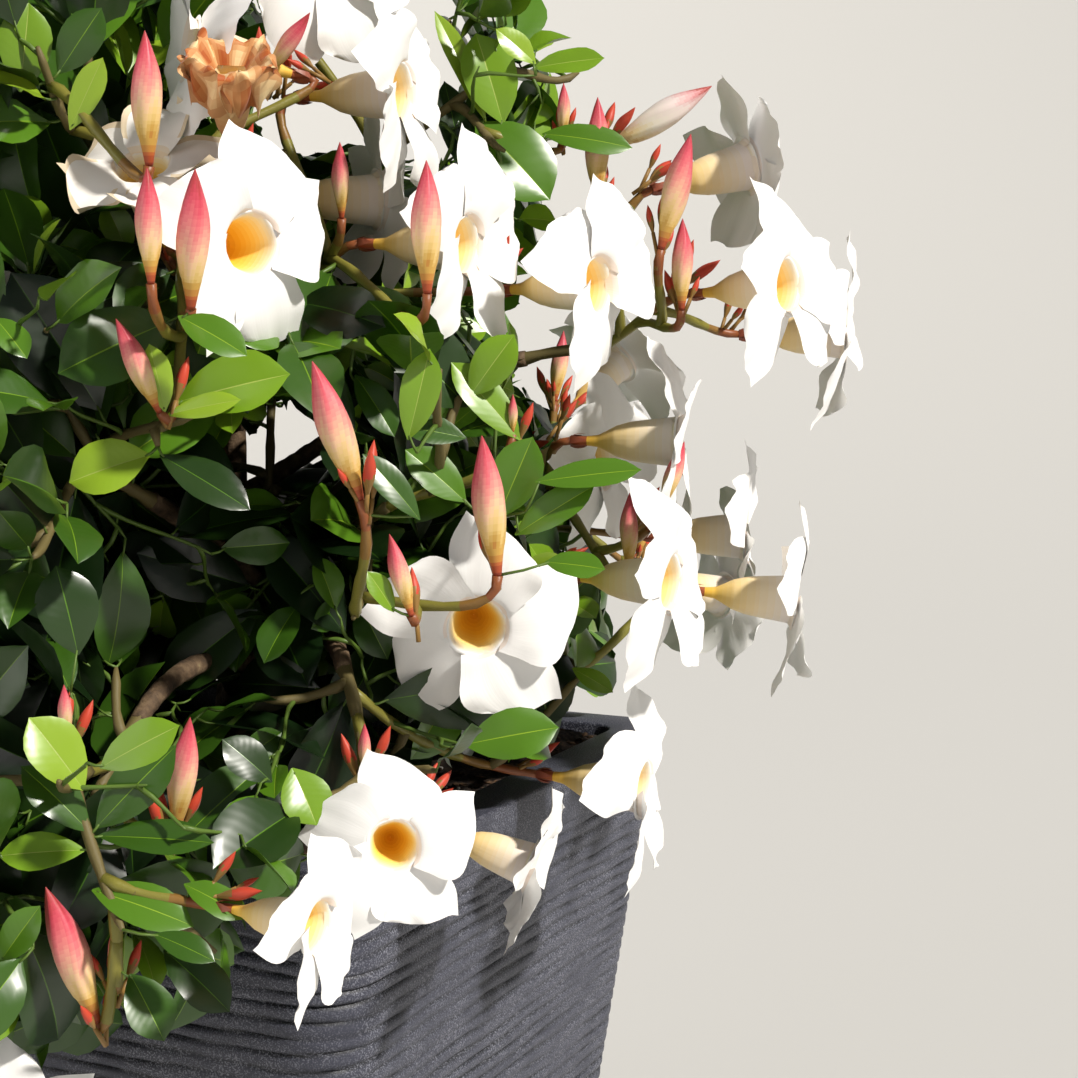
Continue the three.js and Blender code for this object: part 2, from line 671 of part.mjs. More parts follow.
// framework: the stem of a mass, and shoots to its named blooms, buds and tips
function startPlant(mass, index, carrier) {
  const along = endDirection(carrier.path);
  const root = carrier.path[carrier.path.length - 1].clone().addScaledVector(along, clearance);
  const lead = root.clone().addScaledVector(along, 8);
  const hub = spot(...mass.hub);
  const path = [root, lead, lead.clone().lerp(hub, 0.5), hub];
  const plant = { mass, index, hub, nodes: [], shoots: [], blooms: [], buds: [], leaves: [] };
  plant.nodes.push({ p: lead, along, length: 0, used: 0 });
  keepShoot(plant, { path, kind: 'stem', from: plant.nodes[0] }, twigSize.shoot);
  const wanted = [];
  (mass.blooms ?? []).forEach(([across, above, front, turn, lift, look]) => {
    const bloom = { centre: spot(across, above, front), axis: facing(turn, lift), look: look ?? 'fresh' };
    wanted.push({ end: addBloom(plant, bloom), axis: bloom.axis, kind: 'bloom', bloom });
  });
  (mass.buds ?? []).forEach(([across, above, front, turn, lift, length]) => {
    const bud = { middle: spot(across, above, front), axis: facing(turn, lift), length };
    wanted.push({ end: addBud(plant, bud), axis: bud.axis, kind: 'bud', bud });
  });
  (mass.tips ?? []).forEach((tip) => {
    const end = spot(...tip);
    const axis = end.clone().sub(hub).normalize().addScaledVector(up, 0.4).normalize();
    wanted.push({ end, axis, kind: 'leafy' });
  });
  wanted.sort((a, b) => a.end.distanceTo(hub) - b.end.distanceTo(hub));
  wanted.forEach((item) => {
    const leafy = item.kind === 'leafy';
    const shoot = { ...addShoot(plant, item.end, item.axis, item.kind), bloom: item.bloom, bud: item.bud };
    keepShoot(plant, shoot, leafy ? twigSize.tip : twigSize.pedicel);
  });
  return plant;
}

function addSites({ index, shoots, blooms, buds }) {
  const places = shoots.flatMap(({ path }) => pointsAlong(path, rule.siteSpacing));
  places.push(...blooms.map(({ centre }) => centre), ...buds.map(({ middle }) => middle));
  places.forEach((p) => sites.push({ p, index }));
}

// even directions over a ball, turned differently for each mass
function ballDirection(i, count, turn) {
  const z = 1 - (2 * (i + 0.5)) / count;
  const angle = i * 2.39996 + turn;
  const flat = Math.sqrt(1 - z * z);
  return new THREE.Vector3(Math.cos(angle) * flat, Math.sin(angle) * flat, z);
}

function isFree(index, shoot, margin) {
  return pointsAlong(shoot.path.slice(1), 10).every((p) => isClear(index, p, margin));
}

// shoots by the seeded rule, some with a bloom and a bud at the end
function growShoots(plant) {
  const { mass, index, hub } = plant;
  const rand = seeded(index * 977 + 5);
  let spare = mass.spare ?? 0;
  for (let i = 0; i < mass.shoots; i += 1) {
    const direction = ballDirection(i, mass.shoots, index);
    const far = 0.8 + 0.35 * rand();
    const lift = rand() * 0.5 - 0.1;
    const end = hub.clone().addScaledVector(direction, mass.reach * far);
    const outward = end.clone().sub(core).normalize();
    const axis = direction.clone().addScaledVector(outward, 0.6).addScaledVector(up, 0.2).normalize();
    const flowering = spare > 0 && direction.dot(outward) > 0.35;
    if (flowering) axis.addScaledVector(outward, 0.8).addScaledVector(up, lift).normalize();
    const shoot = addShoot(plant, end, axis, flowering ? 'bloom' : 'leafy');
    if (shoot.blocked || !isFree(index, shoot, rule.shootMargin)) continue;
    if (flowering) {
      const bloom = { centre: end.clone().addScaledVector(axis, bloomSize.tube), axis, look: 'fresh' };
      const bud = {
        middle: end.clone().addScaledVector(up, 34).addScaledVector(axis, -8),
        axis: up.clone().addScaledVector(axis, 0.25).normalize(),
        length: rule.budLength,
      };
      if (bloomSpots(bloom).every(({ p }) => owns(index, p, rule.bloomMargin) && !inPlanter(p, 12)
        && obstacles.every((o) => o.p.distanceTo(p) > o.r + 8))) {
        addBloom(plant, bloom);
        spare -= 1;
        keepShoot(plant, { ...shoot, bloom }, twigSize.pedicel);
        const budShoot = addShoot(plant, addBud(plant, bud), bud.axis, 'bud');
        keepShoot(plant, { ...budShoot, bud }, twigSize.pedicel);
        continue;
      }
      shoot.kind = 'leafy';
    }
    keepShoot(plant, shoot, twigSize.tip);
  }
}

// leaves in opposite pairs, each pair turned a quarter from the last
function growLeaves(plant) {
  const rand = seeded(plant.index * 389 + 11);
  plant.shoots.forEach((shoot) => {
    const total = lengthOf(shoot.path);
    const start = { leafy: leafSize.root / 2, bud: 30, bloom: 34, stem: 16 }[shoot.kind];
    for (let pair = 0; pair < rule.leafPairs; pair += 1) {
      const s = total - start - pair * rule.leafSpacing;
      if (s < Math.max(8, total * 0.2)) break;
      const station = stationAt(shoot, s);
      const node = { s, leaves: [] };
      const sides = sidesOf(shoot.kind);
      [0, Math.floor(sides / 2)].forEach((opposite) => {
        const face = (pair + opposite) % sides;
        const scale = 0.84 + 0.3 * rand();
        const spread = (pair === 0 && shoot.kind === 'leafy' ? 0.65 : 0.95) + 0.2 * rand();
        const leaf = [scale, scale * rule.smallLeaf]
          .map((size) => leafCorners(station, face, sides, spread, size))
          .find((corners) => leafFits(plant.index, corners));
        if (leaf) node.leaves.push({ ...leaf, face });
      });
      if (node.leaves.length) shoot.nodes.push(node);
    }
  });
}

function leafFits(index, { left, right, tip, near }) {
  const half = (a, b) => a.clone().lerp(b, 0.5);
  const marks = [left, right, tip, near[0], near[2], half(left, tip), half(right, tip), half(near[2], tip)];
  if (!marks.every((p) => inOwnSpace(index, p, rule.leafMargin))) return false;
  const corners = [left, right, tip, ...near];
  const solid = wasm.Manifold.hull(corners.map(({ x, y, z }) => [x, y, z]));
  const box = new THREE.Box3().setFromPoints(corners);
  const body = { index, box, solid };
  if (bodies.some((other) => meet(body, other))) return false;
  bodies.push(body);
  return true;
}

function bodyOf(index, geometry) {
  geometry.computeBoundingBox();
  return { index, box: geometry.boundingBox, solid: toManifold(geometry) };
}

function meet(one, other) {
  return one.box.intersectsBox(other.box) && !one.solid.intersect(other.solid).isEmpty();
}

function addBodies(plant) {
  plant.shoots.forEach((shoot) => bodies.push(bodyOf(plant.index, leafyTwig(shoot))));
}

function fuse(plant) {
  return largest(wasm.Manifold.union(plant.shoots.map((shoot) => toManifold(leafyTwig(shoot)))));
}

function largest(solid) {
  return solid.decompose().reduce((best, piece) => (piece.volume() > best.volume() ? piece : best));
}

const part = new THREE.Group();
part.name = 'potted_mandevilla';

function addNode(name, geometry, colour) {
  const flat = geometry.index ? geometry.toNonIndexed() : geometry;
  flat.computeVertexNormals();
  const mesh = new THREE.Mesh(flat, new THREE.MeshStandardMaterial({ color: colour }));
  mesh.name = name;
  part.add(mesh);
}

addNode('planter', makePlanter(), colours.planter);
addNode('soil', makeSoil(), colours.soil);

const stemLimbs = {};
Object.entries(stems).forEach(([name, sizes]) => {
  stemLimbs[name] = growStem(`stem_${name}`, sizes);
  limbs.push(stemLimbs[name]);
});
const carriers = masses.map((mass) => {
  if (mass.at === 1) return stemLimbs[mass.from];
  const bough = growBough(mass, stemLimbs[mass.from]);
  limbs.push(bough);
  return bough;
});
const plants = masses.map((mass, index) => startPlant(mass, index, carriers[index]));

// a bough is seated a clearance off its stem and off what grows beside it
const widened = ({ path, radii, sides }) => {
  const extra = clearance / Math.cos(Math.PI / sides) + 0.02;
  return toManifold(limb(path, radii.map((r) => r + extra), sides));
};
const stemTwigs = plants.filter(({ mass }) => mass.at === 1).map(({ mass, shoots: [{ path, radii }] }) => (
  { from: stemLimbs[mass.from], path, radii: radii.map((r) => r + 1), sides: 8 }
));
limbs.forEach((item, k) => {
  const body = limb(item.path, item.radii, item.sides);
  if (!item.stem) {
    const cut = planter.height - soilDrop + clearance;
    addNode(item.name, toGeometry(flatFoot(body, cut)), colours.bark);
    return;
  }
  const beside = [item.stem, ...limbs.slice(0, k).filter(({ stem }) => stem === item.stem),
    ...stemTwigs.filter(({ from }) => from === item.stem)];
  const seated = beside.reduce((solid, other) => solid.subtract(widened(other)), toManifold(body));
  addNode(item.name, toGeometry(largest(seated)), colours.bark);
});

plants.forEach(addSites);
plants.forEach(growShoots);
[makePlanter(), ...limbs.map(({ path, radii, sides }) => limb(path, radii, sides))]
  .forEach((geometry) => bodies.push(bodyOf(-1, geometry)));
plants.forEach(addBodies);
plants.forEach(growLeaves);
plants.forEach((plant) => {
  addNode(`foliage_${plant.mass.name}`, toGeometry(fuse(plant)), colours.foliage);
});

export default part;
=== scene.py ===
import math

import bmesh
import bpy
import numpy as np
from mathutils import Matrix, Vector, noise


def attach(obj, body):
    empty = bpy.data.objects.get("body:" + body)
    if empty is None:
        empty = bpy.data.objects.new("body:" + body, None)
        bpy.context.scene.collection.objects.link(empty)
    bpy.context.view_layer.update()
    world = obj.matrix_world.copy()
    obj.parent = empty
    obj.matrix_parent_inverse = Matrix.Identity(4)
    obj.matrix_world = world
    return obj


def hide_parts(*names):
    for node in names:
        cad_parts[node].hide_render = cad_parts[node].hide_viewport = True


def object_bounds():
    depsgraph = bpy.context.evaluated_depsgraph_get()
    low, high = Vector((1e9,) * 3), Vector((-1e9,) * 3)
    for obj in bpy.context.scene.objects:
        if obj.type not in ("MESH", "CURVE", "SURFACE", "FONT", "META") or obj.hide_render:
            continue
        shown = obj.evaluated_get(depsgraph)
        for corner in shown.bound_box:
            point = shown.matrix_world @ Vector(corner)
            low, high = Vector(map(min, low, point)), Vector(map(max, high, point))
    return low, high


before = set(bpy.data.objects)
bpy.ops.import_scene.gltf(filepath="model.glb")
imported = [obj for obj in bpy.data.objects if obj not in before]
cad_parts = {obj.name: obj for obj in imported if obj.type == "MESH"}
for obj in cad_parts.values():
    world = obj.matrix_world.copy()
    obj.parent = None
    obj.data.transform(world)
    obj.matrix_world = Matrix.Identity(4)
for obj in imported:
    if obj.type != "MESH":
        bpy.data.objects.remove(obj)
cadLow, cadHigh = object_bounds()
print("frame loaded,", len(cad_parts), "nodes")

# a white mandevilla in a square slate-coloured planter; lengths are in
# millimetres until a mesh is made, which is in metres
mm = 0.001
up = np.array([0.0, 0.0, 1.0])
fullTurn = 6.283
fifthTurn = 1.2566


def hexColour(code):
    channels = [int(code[i:i + 2], 16) / 255 for i in (1, 3, 5)]
    linear = [c / 12.92 if c <= 0.04045 else ((c + 0.055) / 1.055) ** 2.4 for c in channels]
    return (*linear, 1.0)


def addNode(tree, kind, values=None, links=None, **settings):
    node = tree.nodes.new(kind)
    for name, value in settings.items():
        setattr(node, name, value)
    for name, value in (values or {}).items():
        node.inputs[name].default_value = value
    for name, socket in (links or {}).items():
        tree.links.new(socket, node.inputs[name])
    return node


# inputs are numbers, which are set, or sockets, which are linked
def addMath(tree, operation, *inputs):
    links = {k: item for k, item in enumerate(inputs) if isinstance(item, bpy.types.NodeSocket)}
    values = {k: item for k, item in enumerate(inputs) if k not in links}
    return addNode(tree, "ShaderNodeMath", values, links, operation=operation).outputs[0]


def newMaterial(name, colour, roughness, **values):
    material = bpy.data.materials.new(name)
    material.use_nodes = True
    tree = material.node_tree
    shader = tree.nodes["Principled BSDF"]
    shader.inputs["Base Color"].default_value = hexColour(colour)
    shader.inputs["Roughness"].default_value = roughness
    for socket, value in values.items():
        shader.inputs[socket.replace("_", " ")].default_value = value
    return material, tree, shader


def addRamp(tree, factor, stops):
    ramp = addNode(tree, "ShaderNodeValToRGB", links={"Fac": factor})
    while len(ramp.color_ramp.elements) < len(stops):
        ramp.color_ramp.elements.new(0.5)
    for element, (place, colour) in zip(ramp.color_ramp.elements, stops):
        element.position = place
        element.color = hexColour(colour)
    return ramp.outputs["Color"]


def addGrain(tree, coordinates, scale, detail=3.0, roughness=0.5):
    return addNode(tree, "ShaderNodeTexNoise", {"Scale": scale, "Detail": detail, "Roughness": roughness},
                   {"Vector": coordinates}).outputs["Fac"]


def objectPlace(tree):
    return addNode(tree, "ShaderNodeTexCoord").outputs["Object"]


def growthPlace(tree):
    return addNode(tree, "ShaderNodeUVMap", uv_map="growth").outputs["UV"]


def addBump(tree, shader, height, strength, depth):
    bump = addNode(tree, "ShaderNodeBump", {"Strength": strength, "Distance": depth * mm}, {"Height": height})
    tree.links.new(bump.outputs["Normal"], shader.inputs["Normal"])


# moulded polyethylene, slate grey with pale flecks that are partly its own speckle and partly painted sun
# glints:
# a dull satin, with painted shade that takes it nearly black in the grooves of its drawn, layered relief
def makePlanterPlastic():
    material, tree, shader = newMaterial("slatePlastic", "#3b3c46", 0.55, IOR=1.5)
    place = objectPlace(tree)
    relief = addNode(tree, "ShaderNodeAttribute", attribute_name="relief").outputs["Fac"]
    # painted shade: the colour runs from near black at the bottom of the grooves to slate on the ridges
    body = addRamp(tree, relief, [(0.0, "#050609"), (0.5, "#191b23"), (1.0, "#3a3c4a")])
    flecksAndGlints = addGrain(tree, place, 1300, 2.0, 0.6)         # pale flecks of under 1 mm, partly the plastic's own and partly painted sun glints
    fleckAndGlintMask = addRamp(tree, flecksAndGlints, [(0.51, "#000000"), (0.62, "#ffffff")])
    clouds = addGrain(tree, place, 38, 3.0)                # the flecks and painted glints thin out in patches
    patchMask = addNode(tree, "ShaderNodeMapRange", {"From Min": 0.2, "From Max": 0.6, "To Max": 0.75},
                        {"Value": clouds}).outputs[0]
    amount = addMath(tree, "MULTIPLY", fleckAndGlintMask, patchMask)
    # the pale fleck colour, which also paints sun glints
    mixed = addNode(tree, "ShaderNodeMix", {7: hexColour("#8c8e9a")}, {0: amount, 6: body}, data_type="RGBA")
    tree.links.new(mixed.outputs[2], shader.inputs["Base Color"])
    addBump(tree, shader, addGrain(tree, place, 900, 2.0), 0.35, 0.6)      # orange peel of about 1 mm
    return material


# moist potting compost: nearly black peat with brown fibre and grey grit
def makeCompost():
    material, tree, shader = newMaterial("pottingCompost", "#2a1f18", 0.95)
    crumbs = addGrain(tree, objectPlace(tree), 190, 4.0, 0.7)
    colour = addRamp(tree, crumbs, [(0.3, "#120d0a"), (0.5, "#2c2018"), (0.62, "#4c3a2a"), (0.78, "#8a7c6c")])
    tree.links.new(colour, shader.inputs["Base Color"])
    addBump(tree, shader, crumbs, 0.8, 3)
    return material


# chips of bark and grit that lie on the compost, each mottled from dark to light
def makeChips(name, dark, light):
    material, tree, shader = newMaterial(name, dark, 0.85)
    colour = addRamp(tree, addGrain(tree, objectPlace(tree), 260), [(0.35, dark), (0.65, light)])
    tree.links.new(colour, shader.inputs["Base Color"])
    return material


# woody stem: greyish brown cork, split along its length, green under the cracks
def makeBark():
    material, tree, shader = newMaterial("woodyStem", "#5c4a37", 0.8)
    place = objectPlace(tree)
    blotches = addGrain(tree, place, 120, 4.0, 0.65)
    colour = addRamp(tree, blotches,
                     [(0.28, "#33271c"), (0.5, "#5e4a35"), (0.66, "#7b664c"), (0.8, "#7a7a4c")])
    tree.links.new(colour, shader.inputs["Base Color"])
    addBump(tree, shader, addGrain(tree, place, 700), 0.5, 1)
    return material


# living skin of twigs, stalks and buds: waxy, with a fine grain along it
def makeSkin(name, colour, roughness=0.42):
    material, tree, shader = newMaterial(name, colour, roughness, IOR=1.45)
    addBump(tree, shader, addGrain(tree, objectPlace(tree), 800, 2.0), 0.25, 0.5)
    return material


# leaf blade under its wax: side veins lie sunk between slightly swollen fields,
# which breaks the gloss into stripes that run from the midrib to the edge
def makeBlade(name, colour):
    material, tree, shader = newMaterial(name, colour, 0.33, IOR=1.48, Coat_Weight=0.25, Coat_Roughness=0.22)
    parts = addNode(tree, "ShaderNodeSeparateXYZ", None, {0: growthPlace(tree)}).outputs
    away = addMath(tree, "ABSOLUTE", addMath(tree, "SUBTRACT", parts["Y"], 0.5))
    slant = addMath(tree, "MULTIPLY_ADD", away, -0.42, parts["X"])
    addBump(tree, shader, addMath(tree, "SINE", addMath(tree, "MULTIPLY", slant, 62.0)), 0.02, 0.5)
    return material


# petal: matt, velvety cells over fine ribs that fan out from the throat
def makePetal(name, colour, roughness=0.6, sheen=0.15):
    material, tree, shader = newMaterial(name, colour, roughness, IOR=1.4, Sheen_Weight=sheen,
                                         Sheen_Roughness=0.5)
    ribs = addNode(tree, "ShaderNodeMapping", {"Scale": (2.0, 34.0, 1.0)}, {"Vector": growthPlace(tree)})
    addBump(tree, shader, addGrain(tree, ribs.outputs["Vector"], 1.0, 2.0), 0.12, 0.7)
    return material


planterPlastic = makePlanterPlastic()
compost = makeCompost()
barkChips = makeChips("barkChips", "#2d2018", "#6b5036")
grit = makeChips("horticulturalGrit", "#8d8a84", "#c9c5bc")
bark = makeBark()
print("materials made")

# sizes shared with the solids
planterSize = {
    "height": 340, "topSide": 380, "baseSide": 290, "footCorner": 27, "topCorner": 34,
    "wellCorner": 16, "bandHeight": 28, "bandProud": 2, "ledge": 28,
    "floorThick": 10, "wallThickAtFoot": 7, "soilDrop": 12,
}
seatGap = 0.3                       # between a piece and what carries it
plantTurn = math.radians(25.2)      # the plant faces this far round from the planter's sides


def spot(across, above, front):
    c, s = math.cos(plantTurn), math.sin(plantTurn)
    return np.array([across * c + front * s, across * s - front * c, planterSize["height"] + above])


def facing(turn, lift):
    t, rise = math.radians(turn), math.radians(lift)
    flat = math.cos(rise)
    return spot(math.sin(t) * flat, math.sin(rise) - planterSize["height"], math.cos(t) * flat)


def halfAt(z):
    return (planterSize["baseSide"] + (planterSize["topSide"] - planterSize["baseSide"])
            * (z / planterSize["height"])) / 2


def wellHalfAt(z):
    foot = planterSize["baseSide"] / 2 - planterSize["wallThickAtFoot"]
    mouth = planterSize["topSide"] / 2 - planterSize["ledge"]
    return foot + (mouth - foot) * (z / planterSize["height"])


def unit(vector):
    return vector / math.sqrt(vector @ vector)


def seeded(seed):
    state = seed

    def draw():
        nonlocal state
        state = (state * 16807) % 2147483647
        return state / 2147483647
    return draw


# a random number from a start over a span, and one to either side of nought
def within(rand, span):
    return span[0] + span[1] * rand()


def swing(rand, width):
    return width * (rand() - 0.5)


# the rule by which stems, boughs and masses grow, as the solids follow it
stemSize = {"radius": 8.5, "taper": 0.42, "flare": 5, "flareReach": 14, "steps": 5, "rise": 0.4}
stems = {
    "front": ((24, 32), (58, 108, 108)),
    "right": ((48, -4), (122, 100, 30)),
    "left": ((-34, 22), (-104, 112, 58)),
    "back": ((-6, -42), (-14, 104, -112)),
    "middle": ((4, -4), (8, 262, 8)),
}
boughSize = {"radius": 5, "tip": 4.3, "steps": 3, "short": 44, "archAt": 0.55}
bloomSize = {"radius": 43, "tube": 54}
twigSize = {"stem": 3.8, "shoot": 2.6, "tip": 2.0, "pedicel": 2.2, "fine": 1.15, "fineTip": 0.75}
rule = {
    "nodeSpacing": 13, "bareEnd": 24, "longShoot": 70, "siteSpacing": 22,
    "shootMargin": 3, "bloomMargin": 10, "planterGap": 3, "limbGap": 2.5, "budLength": 44,
    "lead": 8, "steer": 0.5, "bloomGap": 8, "budRadius": 6.0, "goldenAngle": 2.39996,
}
startCost = {"perLength": 0.3, "perShoot": 16, "backward": 25, "blocked": 200}
# how large a bloom is, and how far its lobes reach for that
bloomLooks = {"fresh": (1, 1), "small": (0.8, 0.92), "ageing": (0.92, 0.86), "withered": (0.8, 0.5)}

# each mass: name, the stem it grows from and how far along, arch of its bough, its middle,
# its reach and number of shoots, then what it carries: blooms are across, up, front, turn
# and lift, buds the same with a length, leafy tips across, up and front
massKeys = ("name", "from", "at", "arch", "hub", "reach", "shoots")
massRows = [
    ("front_mid", "front", 1, 0, (100, 150, 165), 82, 5,
     {"blooms": [(142, 98, 190, 5, -4)],
      "buds": [(149, 157, 240, -50, 82, 60), (112, 129, 250, -70, 75, 36), (88, 190, 270, -60, 70, 60),
       (158, 193, 180, 0, 85, 18)],
      "tips": [(128, 214, 230), (180, 166, 160), (88, 104, 240)]}),
    ("front_low", "front", 0.72, 40, (92, 46, 205), 66, 5,
     {"blooms": [(111, 23, 285, 8, 5, "small"), (166, -2, 225, 82, -20, "small"), (221, 10, 130, 72, -4)],
      "buds": [(94, 49, 222, 0, 85, 24)],
      "tips": [(75, 40, 275), (190, 62, 110)]}),
    ("near_low", "front", 0.56, 50, (-14, 38, 262), 78, 4,
     {"blooms": [(86, 5, 336, 68, -4, "small")],
      "buds": [(-17, 80, 300, 0, 85, 24), (27, 53, 290, 50, 78, 50), (-14, -14, 312, -70, 72, 60),
       (3, -14, 312, 0, 85, 24)],
      "tips": [(-13, 60, 330), (10, 2, 330), (46, -20, 300), (20, -44, 292)]}),
    ("front_upper", "middle", 0.7, 20, (60, 250, 134), 76, 5,
     {"blooms": [(108, 338, 150, 70, 0), (138, 268, 170, 68, -2), (93, 292, 110, 110, 0),
       (198, 251, 150, 62, 2), (51, 266, 240, 45, 0), (-1, 301, 205, -10, 50, "ageing")],
      "buds": [(123, 273, 235, 0, 88, 55), (29, 267, 255, 20, 75, 56), (17, 271, 285, 0, 85, 45),
       (7, 216, 262, -60, 65, 42), (81, 297, 170, 0, 80, 34)]}),
    ("left_hanging", "left", 0.62, 75, (-112, -2, 240), 74, 6,
     {"spare": 1,
      "blooms": [(-53, -98, 300, 0, 4)],
      "tips": [(-90, -50, 290), (-140, -60, 260)]}),
    ("front_left", "front", 0.82, 10, (-30, 172, 205), 84, 7,
     {"tips": [(-5, 186, 290), (40, 204, 250), (-48, 250, 225), (-35, 139, 275)]}),
    ("right_mid", "right", 1, 0, (176, 142, 44), 76, 5,
     {"blooms": [(204, 162, 40, 65, 0), (239, 176, 100, 78, 0), (280, 121, 15, 85, 0)],
      "buds": [(234, 161, 118, 60, 70, 35), (213, 134, 120, 0, 85, 38)],
      "tips": [(184, 190, 100)]}),
    ("right_low", "right", 0.62, 20, (176, 68, 70), 66, 7,
     {"blooms": [(232, 113, 150, 64, 0), (300, 94, 70, 88, -5)],
      "tips": [(205, 60, 100)]}),
    ("right_far", "middle", 0.55, 24, (206, 222, 34), 50, 6,
     {"blooms": [(291, 252, 100, 57, 4), (329, 228, 30, 86, 0), (277, 314, 40, 108, 14)],
      "buds": [(199, 320, 60, 0, 88, 52), (230, 336, 60, 80, 30, 60, "pale"),
       (235, 296, 110, 70, 75, 56), (239, 262, 100, 0, 88, 44)]}),
    ("left_mid", "left", 1, 0, (-182, 176, 118), 90, 8, {"spare": 3}),
    ("left_low", "left", 0.76, 30, (-206, 60, 116), 84, 8, {"spare": 2}),
    ("left_far", "left", 0.9, 15, (-226, 150, -30), 92, 7, {"spare": 2}),
    ("back_mid", "back", 1, 0, (40, 150, -200), 92, 8, {"spare": 2}),
    ("back_low", "back", 0.75, 30, (-60, 40, -224), 84, 7, {"spare": 2}),
    ("back_right", "back", 0.85, 15, (166, 110, -128), 94, 8, {"spare": 2}),
    ("back_left", "back", 0.93, 15, (-150, 136, -150), 96, 8, {"spare": 3}),
    ("crown_top", "middle", 1, 0, (-10, 398, 0), 84, 9, {"spare": 2}),
    ("top_right", "middle", 0.86, 15, (110, 332, 50), 76, 5,
     {"blooms": [(72, 397, 122, 30, 4)],
      "buds": [(182, 339, 60, 0, 85, 28)],
      "tips": [(150, 363, 70), (158, 317, 90), (125, 384, 60), (190, 362, 30)]}),
    ("top_left", "middle", 0.8, 15, (-40, 316, 134), 80, 4,
     {"blooms": [(40, 339, 220, 10, 55, "withered"), (16, 353, 180, -68, 10)],
      "buds": [(7, 326, 232, 0, 86, 55), (59, 356, 176, 70, 50, 34)],
      "tips": [(-44, 356, 215), (-37, 329, 205)]}),
    ("left_up", "middle", 0.6, 20, (-150, 292, 30), 94, 8, {"spare": 2}),
    ("back_up", "middle", 0.74, 20, (30, 280, -114), 98, 9, {"spare": 2}),
    ("heart", "middle", 0.4, 6, (36, 150, 60), 74, 8, {}),
]
bareMass = {"blooms": [], "buds": [], "tips": [], "spare": 0}
masses = [{**bareMass, **dict(zip(massKeys, row)), **row[-1]} for row in massRows]
core = spot(0, 170, 0)


def bend(start, first, end, last, steps):
    pull = math.dist(start, end) / 3
    a, b = start + first * pull, end - last * pull
    t = np.linspace(0, 1, steps + 1)[:, None]
    s = 1 - t
    return s**3 * start + 3 * s * s * t * a + 3 * s * t * t * b + t**3 * end


def lengthOf(path):
    return float(np.linalg.norm(np.diff(path, axis=0), axis=1).sum())


def onPath(path, t):
    x = min(t, 0.9999) * (len(path) - 1)
    k = math.floor(x)
    return path[k] + (path[k + 1] - path[k]) * (x - k)


def pointsAlong(path, spacing):
    points = []
    for a, b in zip(path[:-1], path[1:]):
        count = max(1, math.floor(math.dist(a, b) / spacing + 0.5))
        points.extend(a + (b - a) * (i / count) for i in range(1, count + 1))
    return np.array(points)


def stationAt(path, distance):
    rest, k = distance, 0
    while k + 2 < len(path) and rest > math.dist(path[k], path[k + 1]):
        rest -= math.dist(path[k], path[k + 1])
        k += 1
    step = path[k + 1] - path[k]
    return path[k] + step * (rest / math.sqrt(step @ step)), unit(step)


def growStem(name):
    foot, tip = stems[name]
    start = spot(foot[0], seatGap - planterSize["soilDrop"], foot[1])
    end = spot(*tip)
    away = unit(end - start)
    ends = (start, unit(away + up), end, unit(away + up * stemSize["rise"]))
    path = bend(*ends, stemSize["steps"])
    t = np.linspace(0, 1, stemSize["steps"] + 1)
    flare = stemSize["flare"] * np.exp(-t * math.dist(start, end) / stemSize["flareReach"])
    radii = stemSize["radius"] * (1 - stemSize["taper"] * t) + flare
    return {"name": f"stem_{name}", "path": path, "radii": radii, "ends": ends}


def growBough(mass, stem):
    start = onPath(stem["path"], mass["at"])
    hub = spot(*mass["hub"])
    arched = start + (hub - start) * boughSize["archAt"] + up * mass["arch"]
    inward = unit(hub - arched)
    ends = (start, unit(arched - start), hub - inward * boughSize["short"], inward)
    path = bend(*ends, boughSize["steps"])
    radii = np.linspace(boughSize["radius"], boughSize["tip"], boughSize["steps"] + 1)
    return {"name": f"bough_{mass['name']}", "path": path, "radii": radii, "ends": ends}


stemLimbs = {name: growStem(name) for name in stems}
limbs = list(stemLimbs.values())
carriers = []
for mass in masses:
    if mass["at"] == 1:
        carriers.append(stemLimbs[mass["from"]])
    else:
        carriers.append(growBough(mass, stemLimbs[mass["from"]]))
        limbs.append(carriers[-1])

limbStart = np.concatenate([limb["path"][:-1] for limb in limbs])
limbStep = np.concatenate([np.diff(limb["path"], axis=0) for limb in limbs])
limbRadius = np.concatenate([limb["radii"][:-1] for limb in limbs])
limbTaper = np.concatenate([np.diff(limb["radii"]) for limb in limbs])
limbSquare = (limbStep**2).sum(axis=1)


def nearLimb(points, gap):
    away = points[:, None, :] - limbStart
    t = np.clip((away * limbStep).sum(axis=2) / limbSquare, 0, 1)
    distance = np.linalg.norm(away - t[:, :, None] * limbStep, axis=2) - (limbRadius + limbTaper * t)
    return distance.min(axis=1) < gap


def inPlanter(points, margin):
    half = halfAt(np.minimum(points[:, 2], planterSize["height"])) + margin
    low = points[:, 2] < planterSize["height"] + margin
    return low & (np.abs(points[:, 0]) < half) & (np.abs(points[:, 1]) < half)


# what keeps clear of what: a mass owns the places nearest its own framework, and
# nothing grows through a bloom or a bud
sites = {"p": np.zeros((0, 3)), "owner": np.zeros(0, int)}
hurdles = {"p": np.zeros((0, 3)), "r": np.zeros(0), "owner": np.zeros(0, int)}


def addSpots(store, places, owner, radii=None):
    store["p"] = np.concatenate([store["p"], places])
    store["owner"] = np.concatenate([store["owner"], np.full(len(places), owner)])
    if radii is not None:
        store["r"] = np.concatenate([store["r"], radii])


def owns(index, points, margin):
    distance = np.linalg.norm(points[:, None, :] - sites["p"], axis=2)
    own = sites["owner"] == index
    return distance[:, ~own].min(axis=1) - distance[:, own].min(axis=1) > margin


def hurdleGap(points, share=1.0, others=-1):
    keep = hurdles["owner"] != others
    if not keep.any():
        return np.full(len(points), 1e9)
    distance = np.linalg.norm(points[:, None, :] - hurdles["p"][keep], axis=2)
    return (distance - hurdles["r"][keep] * share).min(axis=1)


